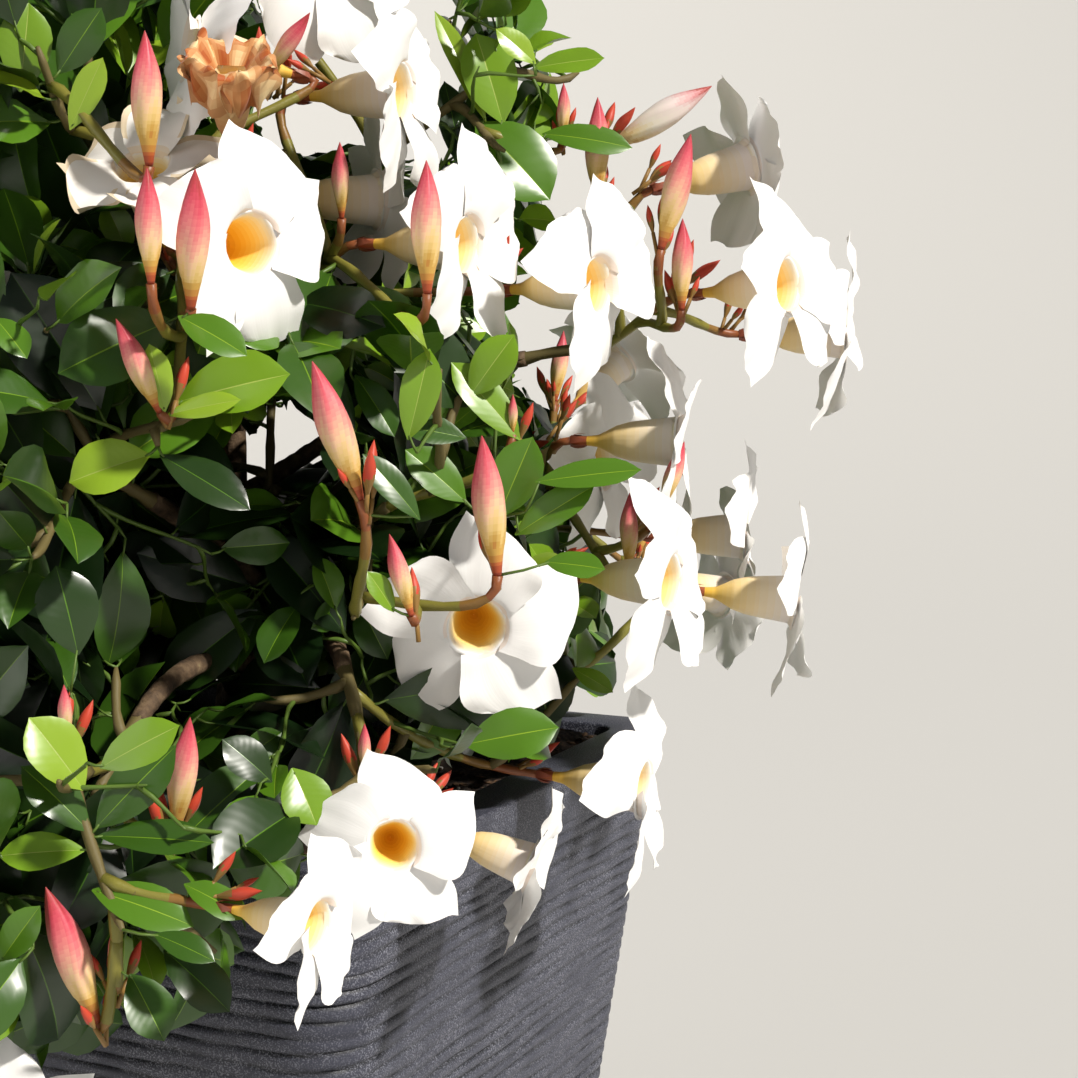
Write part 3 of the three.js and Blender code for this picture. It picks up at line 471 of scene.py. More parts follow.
def sideOf(direction):
    guess = np.array([1.0, 0, 0]) if abs(direction[2]) > 0.9 else up
    return unit(np.cross(direction, guess))


# balls that fill a bloom: four down its tube and two rings over its lobes
bloomBalls = {"down": (0, 0.35, 0.7, 1), "widest": 12, "narrows": 7, "rings": ((0.45, 12), (0.85, 9)),
              "around": 10}


def bloomSpots(bloom):
    centre, axis = bloom["centre"], bloom["axis"]
    side = sideOf(axis)
    other = np.cross(axis, side)
    reach = bloomSize["radius"] * bloomLooks[bloom["look"]][1]
    places = [centre - axis * (t * bloomSize["tube"]) for t in bloomBalls["down"]]
    radii = [bloomBalls["widest"] - bloomBalls["narrows"] * t for t in bloomBalls["down"]]
    for share, radius in bloomBalls["rings"]:
        for i in range(bloomBalls["around"]):
            angle = 2 * math.pi * i / bloomBalls["around"]
            places.append(centre + side * (math.cos(angle) * reach * share)
                          + other * (math.sin(angle) * reach * share))
            radii.append(radius)
    return np.array(places), np.array(radii)


def wayTo(node, end, last):
    away = end - node["p"]
    first = unit(unit(away) + node["along"] * rule["steer"])
    steps = 3 if math.sqrt(away @ away) > rule["longShoot"] else 2
    ends = (node["p"], first, end, last)
    return {"ends": ends, "path": bend(*ends, steps), "from": node}


def isBlocked(index, path):
    points = pointsAlong(path, 6)
    return (inPlanter(points, rule["planterGap"] + 2).any() or nearLimb(points, rule["limbGap"] + 1).any()
            or (hurdleGap(points, 1, index) < 0).any())


# a shoot leaves the node from which it reaches its end by the shortest clear way
def addShoot(plant, end, last, kind):
    options = []
    for k, node in enumerate(plant["nodes"]):
        away = end - node["p"]
        cost = (math.sqrt(away @ away) + startCost["perLength"] * node["length"]
                + startCost["perShoot"] * node["used"])
        if away @ node["along"] < 0:
            cost += startCost["backward"]
        options.append((cost, k))
    best = None
    for cost, k in sorted(options):
        if best and cost >= best["cost"]:
            break
        way = wayTo(plant["nodes"][k], end, last)
        way["blocked"] = isBlocked(plant["index"], way["path"])
        way["cost"] = cost + (startCost["blocked"] if way["blocked"] else 0)
        if best is None or way["cost"] < best["cost"]:
            best = way
    best["kind"] = kind
    return best


def keepShoot(plant, shoot, base, tip):
    shoot["base"], shoot["tip"] = base, tip
    shoot["from"]["used"] += 1
    total = lengthOf(shoot["path"])
    usable = total - rule["bareEnd"] if shoot["kind"] in ("bloom", "bud") else total
    s = rule["nodeSpacing"]
    shoot["nodes"] = []
    while s < usable:
        p, along = stationAt(shoot["path"], s)
        shoot["nodes"].append({"p": p, "along": along, "length": shoot["from"]["length"] + s, "used": 0,
                               "share": s / total})
        s += rule["nodeSpacing"]
    plant["nodes"].extend(shoot["nodes"])
    plant["shoots"].append(shoot)


def addBloom(plant, bloom):
    plant["blooms"].append(bloom)
    places, radii = bloomSpots(bloom)
    addSpots(hurdles, places, plant["index"], radii)
    return bloom["centre"] - bloom["axis"] * (bloomSize["tube"] * bloomLooks[bloom["look"]][0])


def addBud(plant, bud):
    plant["buds"].append(bud)
    places = np.array([bud["middle"] + bud["axis"] * (t * bud["length"]) for t in (-0.4, 0, 0.4)])
    addSpots(hurdles, places, plant["index"], np.full(3, rule["budRadius"]))
    return bud["middle"] - bud["axis"] * (bud["length"] / 2)


def startPlant(mass, index, carrier):
    along = unit(carrier["path"][-1] - carrier["path"][-2])
    root = carrier["path"][-1] + along * seatGap
    lead = root + along * rule["lead"]
    hub = spot(*mass["hub"])
    plant = {"mass": mass, "index": index, "hub": hub, "shoots": [], "blooms": [], "buds": [],
             "nodes": [{"p": lead, "along": along, "length": 0, "used": 0}]}
    stem = {"path": np.array([root, lead, lead + (hub - lead) * 0.5, hub]), "kind": "stem",
            "from": plant["nodes"][0], "ends": (root, along, hub, unit(hub - lead))}
    keepShoot(plant, stem, twigSize["stem"], twigSize["shoot"])
    wanted = []
    for across, above, front, turn, lift, *look in mass["blooms"]:
        bloom = {"centre": spot(across, above, front), "axis": facing(turn, lift),
                 "look": look[0] if look else "fresh"}
        wanted.append((addBloom(plant, bloom), bloom["axis"], "bloom"))
    for across, above, front, turn, lift, length, *look in mass["buds"]:
        bud = {"middle": spot(across, above, front), "axis": facing(turn, lift), "length": length,
               "pale": bool(look)}
        wanted.append((addBud(plant, bud), bud["axis"], "bud"))
    for tip in mass["tips"]:
        end = spot(*tip)
        wanted.append((end, unit(unit(end - hub) + up * 0.4), "leafy"))
    wanted.sort(key=lambda item: math.dist(item[0], hub))
    for end, axis, kind in wanted:
        tipRadius = twigSize["tip"] if kind == "leafy" else twigSize["pedicel"]
        keepShoot(plant, addShoot(plant, end, axis, kind), twigSize["shoot"], tipRadius)
    return plant


def addSites(plant):
    places = [pointsAlong(shoot["path"], rule["siteSpacing"]) for shoot in plant["shoots"]]
    places.extend(bloom["centre"][None] for bloom in plant["blooms"])
    places.extend(bud["middle"][None] for bud in plant["buds"])
    addSpots(sites, np.concatenate(places), plant["index"])


def ballDirection(i, count, turn):
    z = 1 - (2 * (i + 0.5)) / count
    angle = i * rule["goldenAngle"] + turn
    flat = math.sqrt(1 - z * z)
    return np.array([math.cos(angle) * flat, math.sin(angle) * flat, z])


def inOwnSpace(index, points, margin):
    return (owns(index, points, margin).all() and not inPlanter(points, rule["planterGap"]).any()
            and not nearLimb(points, rule["limbGap"]).any())


def isFree(index, shoot, margin):
    points = pointsAlong(shoot["path"][1:], 10)
    return inOwnSpace(index, points, margin) and (hurdleGap(points, 1, index) > 2).all()


# shoots that fill a mass, and the bloom and bud on those that look outward
fillLook = {
    "far": (0.8, 0.35), "outward": 0.6, "upward": 0.2, "flowerSide": 0.35, "flowerOutward": 0.8,
    "flowerLift": (-0.1, 0.5), "budAbove": 34, "budBehind": 8, "budLean": 0.25, "fromPlanter": 12,
}


def growShoots(plant):
    look = fillLook
    mass, index, hub = plant["mass"], plant["index"], plant["hub"]
    rand = seeded(index * 977 + 5)
    spare = mass["spare"]
    for i in range(mass["shoots"]):
        direction = ballDirection(i, mass["shoots"], index)
        far = within(rand, look["far"])
        lift = within(rand, look["flowerLift"])
        end = hub + direction * (mass["reach"] * far)
        outward = unit(end - core)
        axis = unit(direction + outward * look["outward"] + up * look["upward"])
        flowering = spare > 0 and direction @ outward > look["flowerSide"]
        if flowering:
            axis = unit(axis + outward * look["flowerOutward"] + up * lift)
        shoot = addShoot(plant, end, axis, "bloom" if flowering else "leafy")
        if shoot["blocked"] or not isFree(index, shoot, rule["shootMargin"]):
            continue
        if flowering:
            bloom = {"centre": end + axis * bloomSize["tube"], "axis": axis, "look": "fresh"}
            bud = {"middle": end + up * look["budAbove"] - axis * look["budBehind"],
                   "axis": unit(up + axis * look["budLean"]), "length": rule["budLength"], "pale": False}
            places = bloomSpots(bloom)[0]
            if (owns(index, places, rule["bloomMargin"]).all()
                    and not inPlanter(places, look["fromPlanter"]).any()
                    and (hurdleGap(places) > rule["bloomGap"]).all()):
                addBloom(plant, bloom)
                spare -= 1
                keepShoot(plant, shoot, twigSize["shoot"], twigSize["pedicel"])
                stalk = addShoot(plant, addBud(plant, bud), bud["axis"], "bud")
                keepShoot(plant, stalk, twigSize["shoot"], twigSize["pedicel"])
                continue
            shoot["kind"] = "leafy"
        keepShoot(plant, shoot, twigSize["shoot"], twigSize["tip"])


plants = [startPlant(mass, index, carriers[index]) for index, mass in enumerate(masses)]
for plant in plants:
    addSites(plant)
for plant in plants:
    growShoots(plant)
print("framework:", sum(len(p["shoots"]) for p in plants), "shoots,",
      sum(len(p["blooms"]) for p in plants), "blooms,", sum(len(p["buds"]) for p in plants), "buds")


def finishPiece(name, mesh, materials, nodes, angle=None):
    for material in materials:
        mesh.materials.append(material)
    mesh.polygons.foreach_set("use_smooth", [True] * len(mesh.polygons))
    if angle is not None:
        mesh.set_sharp_from_angle(angle=math.radians(angle))
    mesh.update()
    piece = bpy.data.objects.new(name, mesh)
    bpy.context.scene.collection.objects.link(piece)
    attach(piece, "root")
    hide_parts(*nodes)
    print(name, sum(len(p.vertices) - 2 for p in mesh.polygons), "triangles")


def toMesh(form, name):
    mesh = bpy.data.meshes.new(name)
    form.to_mesh(mesh)
    form.free()
    return mesh


# planter wall: layered relief like split slate, which rises toward the middle
# of each side and fades out under the smooth rim band and at the foot
planterLook = {
    "cornerSegments": 6, "sideCuts": 46, "wallCuts": 236, "rimRound": 1.6, "rimBevel": 0.3,
    "footRound": 1.5, "bandLip": (0.6, 0.4), "bandRise": 2,
    "pitch": 7.4, "arch": 2, "depth": 2.6, "fade": 7, "sharpness": 2.2, "shallowest": 0.12, "plain": 0.82,
    "sharpAngle": 50,
    # noise that sways the ridges, waves them, breaks them and grains them: amount, width, height
    "sway": (3.5, 150, 80), "wave": (1.8, 38, 14), "breaks": (0.65, 48, 13), "grain": (0.5, 22, 2.6),
    "breaksFrom": 0.6, "grainFrom": 0.5, "grainDepth": 0.16,
}
unitCorner = planterSize["footCorner"] / (planterSize["baseSide"] / 2)


# a point of the unit outline moved to its place on a ring, and which way is out there
def ringPoint(x, y, half, corner):
    inner = 1 - unitCorner
    out = np.array([max(abs(x) - inner, 0) * np.sign(x), max(abs(y) - inner, 0) * np.sign(y)])
    out = out / np.linalg.norm(out)
    flat = half - corner
    place = np.clip(np.array([x, y]) / inner, -1, 1) * flat + out * corner
    return place, out


def layered(kind, x, y, z, shiftX=0, shiftY=0):
    amount, width, height = planterLook[kind]
    return amount * noise.noise(Vector((x / width + shiftX, y / width + shiftY, z / height)))


# 1 on a ridge, 0 at the bottom of the deepest groove
def reliefAt(x, y, z, half):
    look = planterLook
    across = min(abs(x), abs(y)) / half
    warp = layered("sway", x, y, z) + layered("wave", x, y, z, 7)
    phase = (z - look["arch"] * (1 - across**2) + warp) / look["pitch"]
    ridge = 1 - (1 - abs(math.sin(math.pi * phase))) ** look["sharpness"]
    strength = np.clip(look["breaksFrom"] + layered("breaks", x, y, z, 0, 3), look["shallowest"], 1)
    fine = look["grainFrom"] + layered("grain", x, y, z)
    return float(np.clip(1 - strength * (1 - ridge) - look["grainDepth"] * fine, 0, 1))


def makePlanterShell():
    look, size = planterLook, planterSize
    shell = bmesh.new()
    bmesh.ops.create_grid(shell, x_segments=1, y_segments=1, size=1)
    bmesh.ops.bevel(shell, geom=shell.verts[:], offset=unitCorner, offset_type="OFFSET", affect="VERTICES",
                    segments=look["cornerSegments"], profile=0.5, material=-1)
    long = [e for e in shell.edges if e.calc_length() > 1]
    bmesh.ops.subdivide_edges(shell, edges=long, cuts=look["sideCuts"])
    bmesh.ops.delete(shell, geom=shell.faces[:], context="FACES_ONLY")

    bandFoot = size["height"] - size["bandHeight"]
    band = size["bandProud"]
    top, edge, foot = size["height"], look["rimRound"], look["footRound"]
    mouth, bevel = wellHalfAt(top), edge * look["rimBevel"]
    lipUp, lipIn = look["bandLip"]
    # rows up the outside, over the rim and down the well: height, half side, corner
    rows = [
        (0, halfAt(0) - foot, size["footCorner"] - foot),
        (foot, halfAt(foot), size["footCorner"]),
        (bandFoot, halfAt(bandFoot) - band, size["topCorner"] - band),
        (bandFoot + lipUp, halfAt(bandFoot) - lipIn, size["topCorner"] - lipIn),
        (bandFoot + look["bandRise"], halfAt(bandFoot), size["topCorner"]),
        (top - edge, halfAt(top), size["topCorner"]),
        (top - bevel, halfAt(top) - bevel, size["topCorner"] - bevel),
        (top, halfAt(top) - edge, size["topCorner"] - edge),
        (top, mouth + edge, size["wellCorner"] + edge),
        (top - bevel, mouth + bevel, size["wellCorner"] + bevel),
        (top - edge, mouth, size["wellCorner"]),
        (size["floorThick"], wellHalfAt(size["floorThick"]), size["wellCorner"]),
    ]
    ring = shell.edges[:]
    wall = []
    for row in range(1, len(rows)):
        grown = bmesh.ops.extrude_edge_only(shell, edges=ring)["geom"]
        ring = [g for g in grown if isinstance(g, bmesh.types.BMEdge)
                and all(v in grown for v in g.verts) and len(g.link_faces) == 1]
        raised = [g for g in grown if isinstance(g, bmesh.types.BMVert)]
        bmesh.ops.translate(shell, verts=raised, vec=(0, 0, 1))
        if row == 2:
            wall = [e for v in raised for e in v.link_edges if abs(e.verts[0].co.z - e.verts[1].co.z) > 0.5]
    bmesh.ops.subdivide_edges(shell, edges=wall, cuts=look["wallCuts"])
    bmesh.ops.edgeloop_fill(shell, edges=[e for e in shell.edges if e.is_boundary and e.verts[0].co.z < 0.5])
    bmesh.ops.edgeloop_fill(shell, edges=[e for e in shell.edges if e.is_boundary])

    paintedGrooveShadeLayer = shell.verts.layers.float.new("relief")
    for vert in shell.verts:
        x, y, k = vert.co
        low = min(int(k + 1e-4), len(rows) - 2)
        share = k - low
        z, half, corner = (a + (b - a) * share for a, b in zip(rows[low], rows[low + 1]))
        place, out = ringPoint(x, y, half, corner)
        height = look["plain"]
        if 1 <= k <= 2:
            fade = min(1, (z - foot) / look["fade"], (bandFoot - z) / look["fade"])
            height = 1 - (1 - reliefAt(*place, z, half)) * max(fade, 0)
            place = place - out * (1 - height) * look["depth"]
        vert[paintedGrooveShadeLayer] = height
        vert.co = Vector((place[0], place[1], z)) * mm
    bmesh.ops.recalc_face_normals(shell, faces=shell.faces[:])
    finishPiece("planterShell", toMesh(shell, "planterShell"), [planterPlastic], ["planter"],
                look["sharpAngle"])


makePlanterShell()

# compost: crumbly top, slightly heaped round the stems and more in one corner
soilLook = {
    "cells": 150, "crumb": 2.6, "crumbWidth": 16, "sunk": 3, "heap": 4.0, "heapWidth": 90,
    "corner": (128, 128), "cornerHeap": 13, "cornerWidth": 52,
    "chips": 520, "gritShare": 0.3, "fromEdge": 8, "chipThick": 1.6, "chipSunk": 2.2,
}


def heapAt(x, y):
    look = soilLook
    fromCorner = math.dist((x, y), look["corner"])
    return (look["heap"] * math.exp(-(x * x + y * y) / look["heapWidth"]**2)
            + look["cornerHeap"] * math.exp(-(fromCorner / look["cornerWidth"]) ** 2))


soilTop = planterSize["height"] - planterSize["soilDrop"]
soilHalf = wellHalfAt(soilTop) - seatGap


def makeSoil():
    half, corner = soilHalf, planterSize["wellCorner"] - seatGap
    foot = planterSize["floorThick"] + seatGap
    soil = bmesh.new()
    bmesh.ops.create_grid(soil, x_segments=soilLook["cells"], y_segments=soilLook["cells"], size=1)
    rim = [e for e in soil.edges if e.is_boundary]
    grown = bmesh.ops.extrude_edge_only(soil, edges=rim)["geom"]
    lowered = [g for g in grown if isinstance(g, bmesh.types.BMVert)]
    for vert in soil.verts:
        x, y = vert.co.x * half, vert.co.y * half
        reach = half - corner
        over = Vector((max(abs(x) - reach, 0), max(abs(y) - reach, 0)))
        if over.x and over.y:      # draws the square's corners in to the well's round ones
            over = over.normalized() * max(over)
            x, y = math.copysign(reach + over.x, x), math.copysign(reach + over.y, y)
        crumb = Vector((x / soilLook["crumbWidth"], y / soilLook["crumbWidth"], 0))
        lump = noise.fractal(crumb, 0.6, 2.1, 4) * soilLook["crumb"]
        vert.co = Vector((x, y, soilTop + lump + heapAt(x, y) - soilLook["sunk"])) * mm
    wellFoot = wellHalfAt(foot) - seatGap
    for vert in lowered:
        vert.co = Vector((vert.co.x * wellFoot / half, vert.co.y * wellFoot / half, foot * mm))
    bmesh.ops.edgeloop_fill(soil, edges=[e for e in soil.edges if e.is_boundary])
    bmesh.ops.recalc_face_normals(soil, faces=soil.faces[:])
    finishPiece("compostBed", toMesh(soil, "compostBed"), [compost], ["soil"], 60)


def makeChipsOnTop():
    look = soilLook
    rand = seeded(4241)
    chips = bmesh.new()
    reach = soilHalf - look["fromEdge"]
    for i in range(look["chips"]):
        x, y = (rand() * 2 - 1) * reach, (rand() * 2 - 1) * reach
        isGrit = rand() < look["gritShare"]
        length, width = (2 + 2 * rand(), 2 + rand()) if isGrit else (4 + 7 * rand(), 2 + 3 * rand())
        turn = Matrix.Rotation(rand() * fullTurn, 4, "Z") @ Matrix.Rotation(rand() - 0.5, 4, "X")
        z = soilTop + heapAt(x, y) - look["chipSunk"]
        place = (Matrix.Translation(Vector((x, y, z)) * mm) @ turn
                 @ Matrix.Diagonal((length * mm, width * mm, look["chipThick"] * mm, 1)))
        chip = bmesh.ops.create_icosphere(chips, subdivisions=1, radius=0.5, matrix=place)["verts"]
        for face in {f for v in chip for f in v.link_faces}:
            face.material_index = 1 if isGrit else 0
    finishPiece("compostChips", toMesh(chips, "compostChips"), [barkChips, grit], ["soil"], 20)


makeSoil()
makeChipsOnTop()

# stems and boughs: rings bridged along each limb's curve, with split bark
barkLook = {
    "stemSides": 18, "boughSides": 12, "step": 3.2, "sunk": 2, "collar": 0.35, "collarReach": 12,
    "crack": 0.9, "crackWidth": 3.2, "crackHeight": 15, "crackMost": 0.25, "knot": 0.8, "knotWidth": 24,
}


# direction, side and other side at each point, without twist
def framesAlong(path):
    steps = np.gradient(path, axis=0)
    sides = []
    side = sideOf(unit(steps[0]))
    for step in steps:
        along = unit(step)
        side = unit(side - along * (side @ along))
        sides.append((along, side, np.cross(along, side)))
    return sides


# a curve finer than the solid's, and its thickness along it
def limbCourse(limb, isStem):
    look = barkLook
    count = max(6, round(lengthOf(limb["path"]) / look["step"]))
    path = bend(*limb["ends"], count)
    t = np.linspace(0, 1, count + 1)
    if isStem:
        radii = stemSize["radius"] * (1 - stemSize["taper"] * t)
        radii += stemSize["flare"] * np.exp(-t * lengthOf(path) / stemSize["flareReach"])
        path[0, 2] = soilTop - look["sunk"]
    else:
        radii = np.interp(t, np.linspace(0, 1, len(limb["radii"])), limb["radii"])
        radii *= 1 + look["collar"] * np.exp(-t * lengthOf(path) / look["collarReach"])
    return path, radii


def roughen(vert, middle):
    look = barkLook
    out = vert.co - middle
    q = vert.co / mm
    along, wide = look["crackHeight"], look["crackWidth"]
    crack = min(noise.noise(Vector((q.x / wide, q.y / wide, q.z / along))), look["crackMost"])
    knot = noise.noise(q / look["knotWidth"])
    vert.co += out.normalized() * mm * (look["crack"] * crack + look["knot"] * knot)


def makeLimbs():
    form = bmesh.new()
    for limb in limbs:
        isStem = limb["name"].startswith("stem")
        sides = barkLook["stemSides" if isStem else "boughSides"]
        path, radii = limbCourse(limb, isStem)
        last = None
        for p, radius, (along, side, other) in zip(path, radii, framesAlong(path)):
            middle = Vector(p) * mm
            place = Matrix.Translation(middle) @ Matrix((side, other, along)).transposed().to_4x4()
            ring = bmesh.ops.create_circle(form, cap_ends=False, radius=radius * mm, segments=sides,
                                           matrix=place)["verts"]
            for vert in ring:
                roughen(vert, middle)
            edges = list({e for v in ring for e in v.link_edges})
            if last:
                bmesh.ops.bridge_loops(form, edges=last + edges)
            last = edges
    bmesh.ops.holes_fill(form, edges=[e for e in form.edges if e.is_boundary], sides=0)
    bmesh.ops.recalc_face_normals(form, faces=form.faces[:])
    finishPiece("woodyStems", toMesh(form, "woodyStems"), [bark], [limb["name"] for limb in limbs])


makeLimbs()


# finer twigs: the same rule fills out each mass, within the same reach
fineRule = {
    "tries": 170, "nearest": 24, "farthest": 80, "margin": 1, "least": 0.3, "most": 1.16,
    "outward": 0.6, "upward": 0.3, "curveStep": 7,
}

# where the photograph shows the background, in its pixels: no leaf or fine twig
# grows into these outlines as seen from its viewpoint
photoSize, photoReach = 1078, 2000
viewPlace = np.array([612.0, -902.0, 571.0])
viewTilt = math.radians(6)
viewAhead = np.array([-math.sin(plantTurn) * math.cos(viewTilt), math.cos(plantTurn) * math.cos(viewTilt),
                      -math.sin(viewTilt)])
viewRight = np.array([math.cos(plantTurn), math.sin(plantTurn), 0])
viewUp = np.cross(viewRight, viewAhead)
openSky = [
    [(555, 0), (560, 30), (600, 40), (605, 62), (552, 75), (560, 110), (625, 115), (635, 140), (560, 150),
     (548, 195), (562, 215), (560, 265), (525, 290), (515, 335), (525, 400), (575, 410), (640, 445),
     (645, 470), (600, 480), (590, 520), (605, 560), (600, 600), (618, 640), (612, 700), (565, 705),
     (560, 765), (480, 770), (350, 785), (340, 830), (290, 900), (245, 950), (235, 1010), (110, 1060),
     (100, 1300), (1500, 1300), (1500, -300), (555, -300)],
    [(285, -60), (440, -60), (440, 160), (360, 150), (300, 150), (265, 140), (285, 60)],
    [(228, 450), (300, 405), (332, 450), (300, 470), (262, 490), (245, 470)],
    [(-10, 275), (26, 275), (22, 312), (-10, 315)],
]


def inPhoto(points):
    away = points - viewPlace
    depth = away @ viewAhead
    across, above = away @ viewRight, away @ viewUp
    return np.stack([across / depth, -above / depth], axis=-1) * photoReach + photoSize / 2


def againstSky(points):
    x, y = inPhoto(points).T
    for outline in openSky:
        inside = np.zeros(len(x), bool)
        for (x1, y1), (x2, y2) in zip(outline, outline[1:] + outline[:1]):
            if y1 != y2:
                inside ^= ((y1 > y) != (y2 > y)) & (x < (x2 - x1) * (y - y1) / (y2 - y1) + x1)
        if inside.any():
            return True
    return False


# deep shade between the hanging masses: centre and radius of each hollow
hollows = [(spot(44, 112, 262), 68), (spot(-70, 84, 300), 34)]


def inHollow(points):
    return any((np.linalg.norm(points - centre, axis=1) < radius).any() for centre, radius in hollows)


crownMiddle = spot(20, 205, 20)
crownHalf = (np.array(cadHigh) - np.array(cadLow)) / 2 / mm
crownHalf[2] = 300


# 0 in the crown's middle, about 1 at its skin
def outwardness(p):
    away = (p - crownMiddle) / crownHalf
    return math.sqrt(away @ away)


openBlooms = [b for p in plants for b in p["blooms"]]
shownBlooms = [b for p in plants for b in p["blooms"][:len(p["mass"]["blooms"])]]
shownBuds = [b for p in plants for b in p["buds"][:len(p["mass"]["buds"])]]
# leaves part in front of a bloom, so these ways stay open: length and radius of the
# way out of each bloom, and of those from the blooms and buds in the photograph to the viewer
wayLook = {"out": (62, 31), "bloomToViewer": (230, 34), "budToViewer": (150, 13), "leafToViewer": (150, 13)}


def toViewer(place):
    return unit(viewPlace - place)


openWays = [(b["centre"], b["axis"], *wayLook["out"]) for b in openBlooms]
openWays += [(b["centre"], toViewer(b["centre"]), *wayLook["bloomToViewer"]) for b in shownBlooms]
openWays += [(b["middle"], toViewer(b["middle"]), *wayLook["budToViewer"]) for b in shownBuds]


def inOpenWay(points):
    foot, along, length, radius = openParts
    away = points[:, None, :] - foot
    t = (away * along).sum(axis=2)
    off = np.linalg.norm(away - t[:, :, None] * along, axis=2)
    return ((t > 2) & (t < length) & (off < radius)).any()


openParts = [np.array(part) for part in zip(*openWays)]


bloomCentre = np.array([b["centre"] for b in openBlooms])
bloomAxis = np.array([b["axis"] for b in openBlooms])
bloomScale = np.array([bloomLooks[b["look"]][0] for b in openBlooms])
budFoot = np.array([b["middle"] - b["axis"] * (b["length"] / 2) for p in plants for b in p["buds"]])
budAxis = np.array([b["axis"] for p in plants for b in p["buds"]])
budLength = np.array([b["length"] for p in plants for b in p["buds"]])


def nearBud(points):
    away = points[:, None, :] - budFoot
    t = np.clip((away * budAxis).sum(axis=2), 0, budLength)
    return (np.linalg.norm(away - t[:, :, None] * budAxis, axis=2) < 3 + 0.13 * budLength).any()


# true inside a bell or among its lobes
def inBloom(points):
    away = points[:, None, :] - bloomCentre
    z = (away * bloomAxis).sum(axis=2)
    off = np.linalg.norm(away - z[:, :, None] * bloomAxis, axis=2) / bloomScale
    z = z / bloomScale
    bell = np.interp(z, [-56, -42, -32, -16, 0], [4, 5, 9.5, 12.5, 14])
    return (((z > -58) & (z < 4) & (off < bell)) | ((np.abs(z - 1) < 8) & (off < 45))).any()


def fillOut(plant):
    mass, index, hub = plant["mass"], plant["index"], plant["hub"]
    rand = seeded(index * 1531 + 17)
    for i in range(fineRule["tries"]):
        direction = ballDirection((i * 89) % fineRule["tries"], fineRule["tries"], index * 0.7)
        share = fineRule["least"] + (fineRule["most"] - fineRule["least"]) * rand() ** 0.6
        end = hub + direction * (mass["reach"] * share)
        gap = min(math.dist(node["p"], end) for node in plant["nodes"])
        if not fineRule["nearest"] < gap < fineRule["farthest"]:
            continue
        axis = unit(direction + unit(end - core) * fineRule["outward"] + up * fineRule["upward"])
        shoot = addShoot(plant, end, axis, "fine")
        places = pointsAlong(shoot["path"], 6)
        if shoot["blocked"] or againstSky(places) or inHollow(places) or inOpenWay(places) or inBloom(places):
            continue
        if isFree(index, shoot, fineRule["margin"]):
            keepShoot(plant, shoot, twigSize["fine"], twigSize["fineTip"])


# rounds every shoot's curve, and moves the nodes that it carries on to it
def roundShoots(plant):
    for shoot in plant["shoots"]:
        start, first, end, last = shoot["ends"]
        if shoot["kind"] != "stem":
            start = shoot["from"]["p"]
        steps = max(3, round(lengthOf(shoot["path"]) / fineRule["curveStep"]))
        shoot["curve"] = bend(start, first, end, last, steps)
        total = lengthOf(shoot["curve"])
        for node in shoot["nodes"]:
            node["p"], node["along"] = stationAt(shoot["curve"], node["share"] * total)
        if shoot["kind"] == "stem":
            plant["nodes"][0]["p"] = stationAt(shoot["curve"], rule["lead"])[0]


# one bud leans toward the viewer, out of the petals beside it, and so does its stalk
leaning = {"mass": "front_upper", "bud": 1, "reach": 27}


def leanBud(plant):
    bud = plant["buds"][leaning["bud"]]
    foot = bud["middle"] - bud["axis"] * (bud["length"] / 2)
    reach = toViewer(bud["middle"]) * leaning["reach"]
    budShoots = [s for s in plant["shoots"] if s["kind"] == "bud"]
    shoot = min(budShoots, key=lambda s: math.dist(s["curve"][-1], foot))
    shoot["curve"] = shoot["curve"] + np.linspace(0, 1, len(shoot["curve"]))[:, None] ** 2 * reach
    bud["middle"] = bud["middle"] + reach


for plant in plants:
    fillOut(plant)
    roundShoots(plant)
    if plant["mass"]["name"] == leaning["mass"]:
        leanBud(plant)
print("finer twigs:", sum(len(p["shoots"]) for p in plants), "shoots in all")


# meshes joined from many small grids and tubes
def newStore():
    return {"verts": [], "faces": [], "marks": [], "uv": [], "count": 0}


def addGrid(store, points, marks, closed=False, uv=None):
    rows, columns = points.shape[:2]
    index = np.arange(rows * columns).reshape(rows, columns) + store["count"]
    if closed:
        index = np.concatenate([index, index[:, :1]], axis=1)
    faces = np.stack([index[:-1, :-1], index[:-1, 1:], index[1:, 1:], index[1:, :-1]], axis=-1)
    store["verts"].append(points.reshape(-1, 3))
    store["faces"].extend(faces.reshape(-1, 4).tolist())
    store["marks"].extend(np.broadcast_to(marks, faces.shape[:2]).reshape(-1).tolist())
    if uv is None:
        across = np.linspace(0, 1, columns)
        uv = np.stack(np.meshgrid(np.linspace(0, 1, rows), across, indexing="ij"), axis=-1)
    store["uv"].append(uv.reshape(-1, 2))
    store["count"] += rows * columns
    return index


def addTube(store, path, radii, sides, mark):
    angles = np.arange(sides) * (2 * math.pi / sides)
    rings = []
    for p, radius, (along, side, other) in zip(path, radii, framesAlong(path)):
        rings.append(p + radius * (np.cos(angles)[:, None] * side + np.sin(angles)[:, None] * other))
    index = addGrid(store, np.array(rings), mark, closed=True)
    store["faces"].extend([index[0, -2::-1].tolist(), index[-1, :-1].tolist()])
    ends = np.broadcast_to(mark, (len(path) - 1, 1))
    store["marks"].extend([int(ends[0, 0]), int(ends[-1, 0])])


def makeJoined(name, store, materials, nodes):
    mesh = bpy.data.meshes.new(name)
    verts = np.concatenate(store["verts"]) * mm
    mesh.from_pydata(verts.tolist(), [], store["faces"])
    mesh.polygons.foreach_set("material_index", store["marks"])
    corners = np.zeros(len(mesh.loops), int)
    mesh.loops.foreach_get("vertex_index", corners)
    layer = mesh.uv_layers.new(name="growth")
    layer.data.foreach_set("uv", np.concatenate(store["uv"])[corners].reshape(-1))
    finishPiece(name, mesh, materials, nodes)


